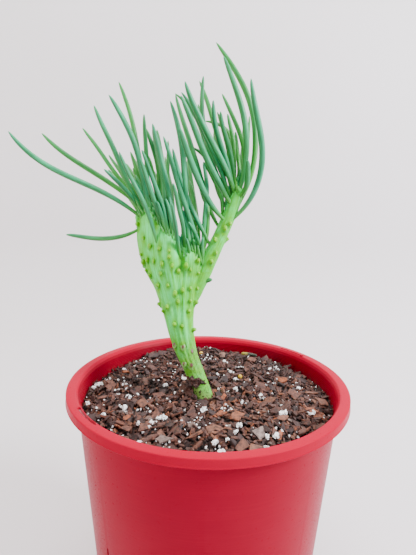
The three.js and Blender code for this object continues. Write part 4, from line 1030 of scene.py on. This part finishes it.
# Growth lines and warm patches of the stem, worked out for each of its corners
corners = corner_values(stem, "co") * 1000
facing = corner_values(stem, "normal")
left, right = outline(corners[:, 2])
across = (2 * corners[:, 0] - left - right) / (right - left)
middle = shoot_middle(np.clip(corners[:, 2], SHOOT_FOOT, SHOOT_END))
on_shoot = np.linalg.norm(corners[:, :2] - middle[:, :2], axis=1) < shoot_radius(corners[:, 2]) * 1.25
on_shoot &= (corners[:, 2] > 270) & (corners[:, 0] > middle[:, 0] - 7)
turn = np.arctan2(corners[:, 1] - middle[:, 1], corners[:, 0] - middle[:, 0])
line = np.where(on_shoot, turn * 3.5, across * 15)
flow = np.stack([line, corners[:, 1] * 0.25, corners[:, 2] * 0.045], -1)
near = np.full(len(corners), 1e9)
for foot, _ in nub_feet:
    near = np.minimum(near, np.linalg.norm((corners - foot) * (1, 1, 0.5), axis=1))
warm = 1.1 * np.exp(-(near / 2.6) ** 2) + 0.8 * ease(0.4, 0.9, across) * (1 - 0.7 * on_shoot)
warm += 0.7 * ease(-0.55, -1, across) + 0.25 * on_shoot + 0.9 * ease(236, 200, corners[:, 2])
warm += 0.8 * np.clip(-forms(corners[:, 0], corners[:, 2]) / 2, 0, 1)
# fine ridges along the growth, a collar round each nub, and a granular growing edge
edge_below = follow(EDGE_HEIGHT, np.clip(across, -1, 1)) - corners[:, 2]
granular = np.where(on_shoot, 0, ease(9, 2, edge_below))
shift, ridges = [], []
for (a, b, c), grain, (u, v, w), close in zip(flow, granular, corners, near):
    ridge = 0.2 * noise.noise(Vector((a * 1.1, b * 2, c * 0.8)))
    ridge += 0.13 * noise.noise(Vector((a * 2.6, b * 3, c * 2)))
    grit = 0.4 * noise.noise(Vector((u, v, w)) / 2.1)
    shift.append(ridge * (1 - grain) + grit * grain + 0.4 * math.exp(-(close / 1.7) ** 2))
    ridges.append(0.5 + 1.5 * ridge)
stem.data.vertices.foreach_set("co", ((corners + facing * np.array(shift)[:, None]) * 0.001).ravel())
stem.data.update()
soil = np.maximum(ease(197, 186, corners[:, 2] + 6 * across), 0.35 * ease(236, 200, corners[:, 2]))
mark(stem, flow=flow, warm=np.clip(warm, 0, 1), soil=soil, ridge=np.clip(ridges, 0, 1))


# Soil on the stem: a clump of mix that sticks across its front a little above the surface and
# hangs down at its left. Each lump has a place and a size.
CLUMP = [
    [-12.8, -14.5, 196.4, 1.5], [-11.2, -16.2, 195.8, 1.9], [-9.6, -17.2, 195, 2.2],
    [-7.4, -17.8, 194.6, 2.1], [-5.2, -17.6, 195, 1.7], [-3.6, -17, 193.8, 1.2],
    [-8.6, -18, 192.4, 1.7], [-11.4, -16.4, 192.6, 2], [-13.2, -14.6, 192, 1.8],
    [-12.8, -15.8, 189.4, 1.9], [-14.2, -14.4, 187, 2], [-12.6, -16.6, 186, 1.8],
    [-14.8, -12.6, 190, 1.6], [-13.4, -15.8, 183.6, 2.2], [-10.4, -17.6, 183.2, 1.8]]
CRUMBS_BETWEEN = 40
lumps, lump_tones = [], []
for k in range(len(CLUMP) + CRUMBS_BETWEEN):
    if k < len(CLUMP):
        x, y, z, size = CLUMP[k]
    else:
        x, y, z, size = CLUMP[k % len(CLUMP)]
        x, y, z = x + 4 * spread(k, 80) - 2, y - 0.3 + spread(k, 81), z + 3 * spread(k, 82) - 1.6
        size = 0.4 + 0.6 * spread(k, 83)
    points, faces = ball_shape(3 if size > 1.1 else 1, 0.8)(np.random.default_rng(200 + k))
    lumps.append((np.array(points) * (size * 1.2, size * 0.8, size * 1.15) + (x, y, z), faces))
    lump_tones.append(0.1 + 0.45 * spread(k, 84))
on_mix(marked("soil_on_stem", lumps, bark, lump_tones))


# Leaves: slim, round, fleshy sticks drawn to a fine point, narrow and yellower at the foot.
# Those the photo shows stand where it shows them, and rows behind them follow a rule.
LEAF_TAPER = [
    [0, 0.62], [0.15, 0.85], [0.35, 1], [0.6, 1], [0.8, 0.89], [0.9, 0.74],
    [0.96, 0.52], [0.99, 0.27], [1, 0.07]]
# Each list gives seat x, seat height, tip x, tip y, tip height, low bow, high bow, thickness
FAN_LEAVES = [
    [-53, 308, -136, -4, 361, -1, -5, 3.9], [-54, 296.5, -105, 10, 292.5, -4.2, -2.9, 3.4],
    [-49, 307, -81, 4, 380, 0.5, 0.1, 3.6], [-43, 309, -68, -8, 384, 4.2, 5, 3.8],
    [-37, 289, -58, -26, 347, 2, 1, 2.8], [-51, 311, -70, -16, 337, 1.5, 1.5, 2.8],
    [-34, 300, -46, -22, 344, 0.5, 0.5, 3.2], [-29, 297, -45, -20, 349, 1.5, 1, 2.9],
    [-25, 301, -40, -8, 367, 1, 0.5, 3.7], [-31, 301, -42, 6, 366, 1.5, 1.5, 3.2],
    [-28, 298, -40, 14, 367, 1, 1, 3.4], [-6, 284, -32, -16, 358, -1.5, -0.5, 3.4],
    [-25, 297, -33, 22, 361, -2, -1.5, 2.8], [-2, 290, -27, -6, 352, -2, -2.5, 3.4],
    [-15, 286, -29, -4, 382, 2, 3.5, 3.9], [-21, 281, -25, -30, 316, 0, 0, 2.8],
    [-18, 286, -25, -24, 329, 1, 1, 3.0], [-15, 281, -17, -14, 294, 0.6, 0.6, 2.2],
    [-5, 286, -27, 12, 390, 7.5, 4, 3.6], [-6, 287, -7, 2, 344, 1.5, 2.5, 3.2],
    [-11, 285, -17, 20, 333, 1.5, 1.5, 3.4], [-7, 285, -15, -22, 305, 0.5, 0.5, 2.6]]
CURL_LEAVES = [
    [-51, 313, -121, 14, 363, 0.2, -1.8, 3.6], [-51, 313, -94, 20, 368, 0, 0, 3.0],
    [-45, 314, -68, 22, 400, 1, 2, 3.4], [-50, 313, -78, 30, 351, 0, 0, 2.8],
    [-44, 314, -48, 8, 376, -1.5, -1, 3.2], [-40, 312, -48, 14, 368, 4, 4, 3.6],
    [-47, 312, -61, 26, 353, 0, 0.5, 3.0], [-38, 310, -49, 26, 352, 0.5, 1.5, 2.8]]
SHOOT_LEAVES = [
    [20, 320, 0, 14, 424, 16, 14.5, 4.1], [16, 308, 22.5, -10, 395, 13.5, 9.2, 4.1],
    [18, 324, 5, 0, 411, 8.5, 7.5, 4.1], [18, 328, 5, 24, 394, 7.5, 6, 3.2],
    [19, 322, 22, -14, 345, 2.5, 2, 3.6], [17, 332, 15, 16, 367, 1.5, 1, 2.8],
    [15, 333, 9, 12, 378, 1.5, 1.5, 3.0], [15, 332, 4, 4, 378, 1, 0, 3.2],
    [14, 331, 2, 26, 382, 1, 1.5, 2.8], [14, 329, -1, -4, 383, -1, -2, 3.4],
    [13, 329, 0, 30, 370, -1.5, -2, 2.6], [13, 326, -11, 20, 401, 1.5, 1.5, 3.4],
    [15, 325, -19, -12, 392, 1, -1, 4.1], [10, 325, -8, 8, 401, -6.5, -6, 3.4],
    [11, 324, -12, 30, 388, 0, -1.5, 3.4], [12, 323, -22, -2, 388, 1.5, 2.5, 3.2],
    [12, 318, -21, -18, 382, -1.5, -1, 4.1], [10, 320, -28, 18, 392, 1.5, 5.5, 3.0],
    [10, 314, -15, 10, 355, 1.5, 4.5, 3.0], [7, 307, -21, -26, 362, -3.5, -3, 4.1],
    [7, 310, -7, 6, 345, 3.5, 3, 3.4], [4, 302, -12, 14, 344, -2, -2, 3.4],
    [15, 336, -7, 34, 377, 7, 10.5, 3.0], [-6, 262, 1, -5, 265, 0, 0, 3.0]]
BACK_ROW = {"count": 9, "ends": (-50, -8), "height": (334, 352), "depth": (26, 40), "bow": 1, "series": 1}
CURL_ROW = {"count": 6, "ends": (-52, -30), "height": (336, 356), "depth": (34, 50), "bow": 1, "series": 5}
SHOOT_ROW = {"count": 4, "ends": (306, 326), "height": (352, 384), "depth": (30, 42), "bow": 2, "series": 9}
LEAF_SINK, ROOT_MOST, SHOOT_TOP, SHOOT_REACH = 4, 9, 327, 25
LEAF_SIDES, LEAF_STEPS = 14, 26
YOUNG, YOUNG_LENGTH = 72, (7, 30)


def fan_seat(x, z, tip_y=0):
    across = fan_across(x, z)
    edge = follow(EDGE_HEIGHT, across)
    forward = np.clip((edge - z) / 8, 0, 1) * 0.8
    seat = fan_middle(across, float(z))
    seat[0] = x
    seat[1] -= forward * follow(STEM_HALF_DEPTH, z) * math.sqrt(1 - across ** 2)
    return seat, float(np.clip(LEAF_SINK + z - edge + 1, LEAF_SINK, ROOT_MOST))


def curl_at(x):
    """The curl's growing edge at this x"""
    return curl_edge(trace(CURL_EDGE, 1, 0, x))


def curl_seat(x, z, tip_y=0):
    edge = curl_at(x)
    return np.array([x, edge[1], z]), LEAF_SINK + max(z - float(edge[2]) + 1, 0)


def shoot_seat(x, z, tip_y):
    seat = shoot_middle(float(z))
    seat[0] = x
    seat[1] += np.clip((tip_y - seat[1]) / SHOOT_REACH, -1, 1) * 0.7 * shoot_radius(z)
    return seat, LEAF_SINK + max(z - SHOOT_TOP, 0)


leaf_list = []
for rows, seat_of in ((FAN_LEAVES, fan_seat), (CURL_LEAVES, curl_seat), (SHOOT_LEAVES, shoot_seat)):
    for x, z, *tip, low, high, thickness in rows:
        leaf_list.append((*seat_of(x, z, tip[1]), np.array(tip, float), low, high, thickness))
for row in (BACK_ROW, CURL_ROW, SHOOT_ROW):
    for k in range(row["count"]):
        at = row["ends"][0] + (row["ends"][1] - row["ends"][0]) * k / (row["count"] - 1)
        if row is BACK_ROW:
            seat, root = fan_seat(at, follow(EDGE_HEIGHT, fan_across(at, EDGE_LEVEL)) - 1)
        elif row is CURL_ROW:
            seat, root = curl_seat(at, float(curl_at(at)[2]) - 1)
        else:
            seat, root = shoot_seat(shoot_middle(at)[0], at, SHOOT_REACH)
        draws = [spread(k, row["series"] + s) for s in range(4)]
        z = row["height"][0] + (row["height"][1] - row["height"][0]) * draws[0]
        lean = follow(FAN_LEAN, seat[0]) + 0.12 * (draws[1] - 0.5)
        y = row["depth"][0] + (row["depth"][1] - row["depth"][0]) * draws[2]
        tip = np.array([seat[0] + lean * (z - seat[2]), y, z])
        leaf_list.append((seat, root, tip, row["bow"], row["bow"], 2.3 + 0.7 * draws[3]))

# Young leaves by rule: short and slim, standing among the grown ones along both growing edges
for k in range(YOUNG):
    kind = k % 4
    if kind == 0:
        seat, root = curl_seat(-52 + 22 * spread(k, 70), 0)
        seat[2] = float(curl_at(seat[0])[2]) - 1
    elif kind == 3:
        at = 302 + 24 * spread(k, 71)
        seat, root = shoot_seat(shoot_middle(at)[0], at, 40 * spread(k, 72) - 20)
    else:
        across = 1.75 * spread(k, 73) - 0.8
        seat, root = fan_middle(across, float(follow(EDGE_HEIGHT, across)) - 1), LEAF_SINK
        seat[1] += 7 * (spread(k, 74) - 0.6)
    length = YOUNG_LENGTH[0] + (YOUNG_LENGTH[1] - YOUNG_LENGTH[0]) * spread(k, 75) ** 1.4
    lean = follow(FAN_LEAN, seat[0]) * 0.9 + 0.3 * (spread(k, 76) - 0.5)
    aim = np.array([lean, 0.75 * (spread(k, 77) - 0.35), 1])
    tip = seat + aim / np.linalg.norm(aim) * length
    bow = 0.05 * length * (spread(k, 78) - 0.4)
    leaf_list.append((seat, root, tip, bow, bow, 1.7 + 1.2 * length / YOUNG_LENGTH[1]))

leaves, alongs, tones, rounds = [], [], [], []
for number, (seat, root, tip, low, high, thickness) in enumerate(leaf_list):
    chord = tip - seat
    aside = np.array([chord[2], 0, -chord[0]]) / math.hypot(chord[0], chord[2])
    bend = [seat, seat + chord / 3 + aside * (3 * low - 1.5 * high),
            seat + chord * 2 / 3 + aside * (3 * high - 1.5 * low), tip]
    t = np.linspace(0, 1, LEAF_STEPS + 1)
    t = np.concatenate([t[:-1], [0.985, 1]])[:, None]
    curve = ((1 - t) ** 3 * bend[0] + 3 * (1 - t) ** 2 * t * bend[1]
             + 3 * (1 - t) * t ** 2 * bend[2] + t ** 3 * bend[3])
    start = (bend[1] - bend[0]) / np.linalg.norm(bend[1] - bend[0])
    # a slow waver, as no leaf is quite regular
    length = np.linalg.norm(chord)
    waver = np.sin(t * (5 + 4 * spread(number, 50)) + 6 * spread(number, 51)) * t * (1 - t)
    curve = curve + aside * waver * min(length / 60, 1) * 1.6
    middles = np.concatenate([[seat - start * root, seat - start * root / 2], curve])
    shares = np.concatenate([[0.62, 0.62], follow(LEAF_TAPER, t[:, 0])])
    leaves.append(closed_skin(round_skin(middles, thickness / 2 * shares, LEAF_SIDES)))
    along = np.repeat(np.concatenate([[0, 0], t[:, 0]]), LEAF_SIDES)
    alongs.append(np.concatenate([along * length, [0, length]]))
    angles = 2 * math.pi * np.tile(np.arange(LEAF_SIDES), len(middles)) / LEAF_SIDES
    bearing = np.stack([np.cos(angles), np.sin(angles), along * length / 40 + number], -1)
    rounds.append(np.concatenate([bearing, [[0, 0, number], [0, 0, number + length / 40]]]))
    # fronts are bluer with bloom; leaves deep in the tuft are greener, and painted lighter as painted light
    # passing through them
    depth = np.clip((tip[1] + 6) / 26, 0, 1)
    tones.append(np.full(len(along) + 2, np.clip(depth + 0.35 * (spread(number, 52) - 0.5), 0, 1)))

# Leaf skin: deep green flesh under a blue-white bloom that thins at the foot, where the leaf is yellow-green;
# faint veins run along it.
# The bloom is painted on more thickly on the side turned to the lamps, as painted light
leaf_skin, tree, place = blank("chalk_stick_leaf_skin")
along, inner, sunny = (
    add(tree, "Attribute", {"attribute_name": label}) for label in ("along", "inner", "sunny"))
cloud = add(tree, "TexNoise", {"Vector": place, "Scale": 1000 / 14, "Detail": 4})
# partly painted light: leaves deep in the tuft get a lighter yellow-green flesh, standing in for light
# passing through them
flesh_and_painted_glow = add(tree, "Mix", {0: inner, 6: "#1a6e30", 7: "#3a982c"})
bloom = add(tree, "MapRange", {0: cloud, 1: 0.35, 2: 0.65, 3: 0.6, 4: 1})
outer = add(tree, "MapRange", {0: inner, 1: 0.2, 2: 1, 3: 1, 4: 0.35})
bloom = add(tree, "Math", {"operation": "MULTIPLY", 0: bloom, 1: outer})
# painted light: the bloom colour is laid on more thickly where the skin faces the lamps
bloom = add(tree, "Math", {"operation": "MULTIPLY", 0: bloom, 1: sunny})
wax_and_painted_light = add(tree, "Mix", {0: bloom, 6: flesh_and_painted_glow, 7: "#32ac78"})
foot = add(tree, "MapRange", {0: along, 1: 1, 2: 14, 3: 0.8, 4: 0})
# leaves deep in the tuft stay yellow-green further up, partly their own colour and partly painted light
# passing through them
deep = add(tree, "MapRange", {0: along, 1: 10, 2: 48, 3: 0.85, 4: 0})
deep = add(tree, "Math", {"operation": "MULTIPLY", 0: deep, 1: inner})
foot = add(tree, "Math", {"operation": "MAXIMUM", 0: foot, 1: deep})
colour = add(tree, "Mix", {0: foot, 6: wax_and_painted_light, 7: "#4ca62a"})
veins = add(tree, "Attribute", {"attribute_name": "round"}).outputs["Vector"]
veins = add(tree, "TexNoise", {"Vector": veins, "Scale": 2.4, "Detail": 1})
lines = add(tree, "MapRange", {0: veins, 1: 0.42, 2: 0.6, 3: 0.35, 4: 0})
colour = add(tree, "Mix", {0: lines, 6: colour, 7: "#123c1a"})
fine = add(tree, "TexNoise", {"Vector": place, "Scale": 1000 / 1.2, "Detail": 3})
rough = add(tree, "MapRange", {0: fine, 1: 0.3, 2: 0.7, 3: 0.36, 4: 0.5})
relief = add(tree, "Bump", {"Height": fine, "Distance": 0.0001, "Strength": 0.35})
add(tree, "OutputMaterial", {"Surface": add(tree, "BsdfPrincipled", {
    "Base Color": colour, "Roughness": rough, "Subsurface Weight": 0.15,
    "Subsurface Radius": (0.0008, 0.0025, 0.0008), "Specular IOR Level": 0.35,
    "Normal": relief})})
leaf_piece = mesh_object("plant_leaves", *merged(leaves), leaf_skin)
# sunny: how squarely each corner faces the lamps, for the painted light on the bloom
TOWARDS_LIGHT = (0.5, -0.4, 0.77)
mark(leaf_piece, round=np.concatenate(rounds), along=np.concatenate(alongs), inner=np.concatenate(tones),
     sunny=ease(-0.5, 0.8, corner_values(leaf_piece, "normal") @ TOWARDS_LIGHT))
on_plant(leaf_piece)


# Shed leaf: dropped from the plant, drying dark and limp on the mix, its foot yellow
withered, tree, place = blank("withered_leaf")
axis = add(tree, "SeparateXYZ", {0: place})
fade = add(tree, "MapRange", {0: axis.outputs[0], 1: 0.036, 2: 0.0335})
wrinkle = add(tree, "TexNoise", {"Vector": place, "Scale": 1000 / 1.5, "Detail": 5})
dark = add(tree, "Mix", {0: wrinkle, 6: "#121a0c", 7: "#242c14"})
colour = add(tree, "Mix", {0: fade, 6: dark, 7: "#8a7a20"})
relief = add(tree, "Bump", {"Height": wrinkle, "Distance": 0.0006, "Strength": 0.8})
add(tree, "OutputMaterial", {"Surface": add(tree, "BsdfPrincipled", {
    "Base Color": colour, "Roughness": 0.55, "Normal": relief})})
t = np.linspace(0, 1, 25)
x, y = np.array((SHED_FROM, SHED_TO - SHED_FROM)).T @ (np.ones(25), t)
# it lies on top of the loose bits
z = (1 - t) * mix_height(*SHED_FROM) + t * mix_height(*SHED_TO) + 4.4
shed = mesh_object("shed_leaf_dry", *closed_skin(round_skin(
    np.stack([x, y, z], -1), 1.7 * follow(LEAF_TAPER, t), 16)), withered)
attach(shed, "root")
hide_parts("shed_leaf")
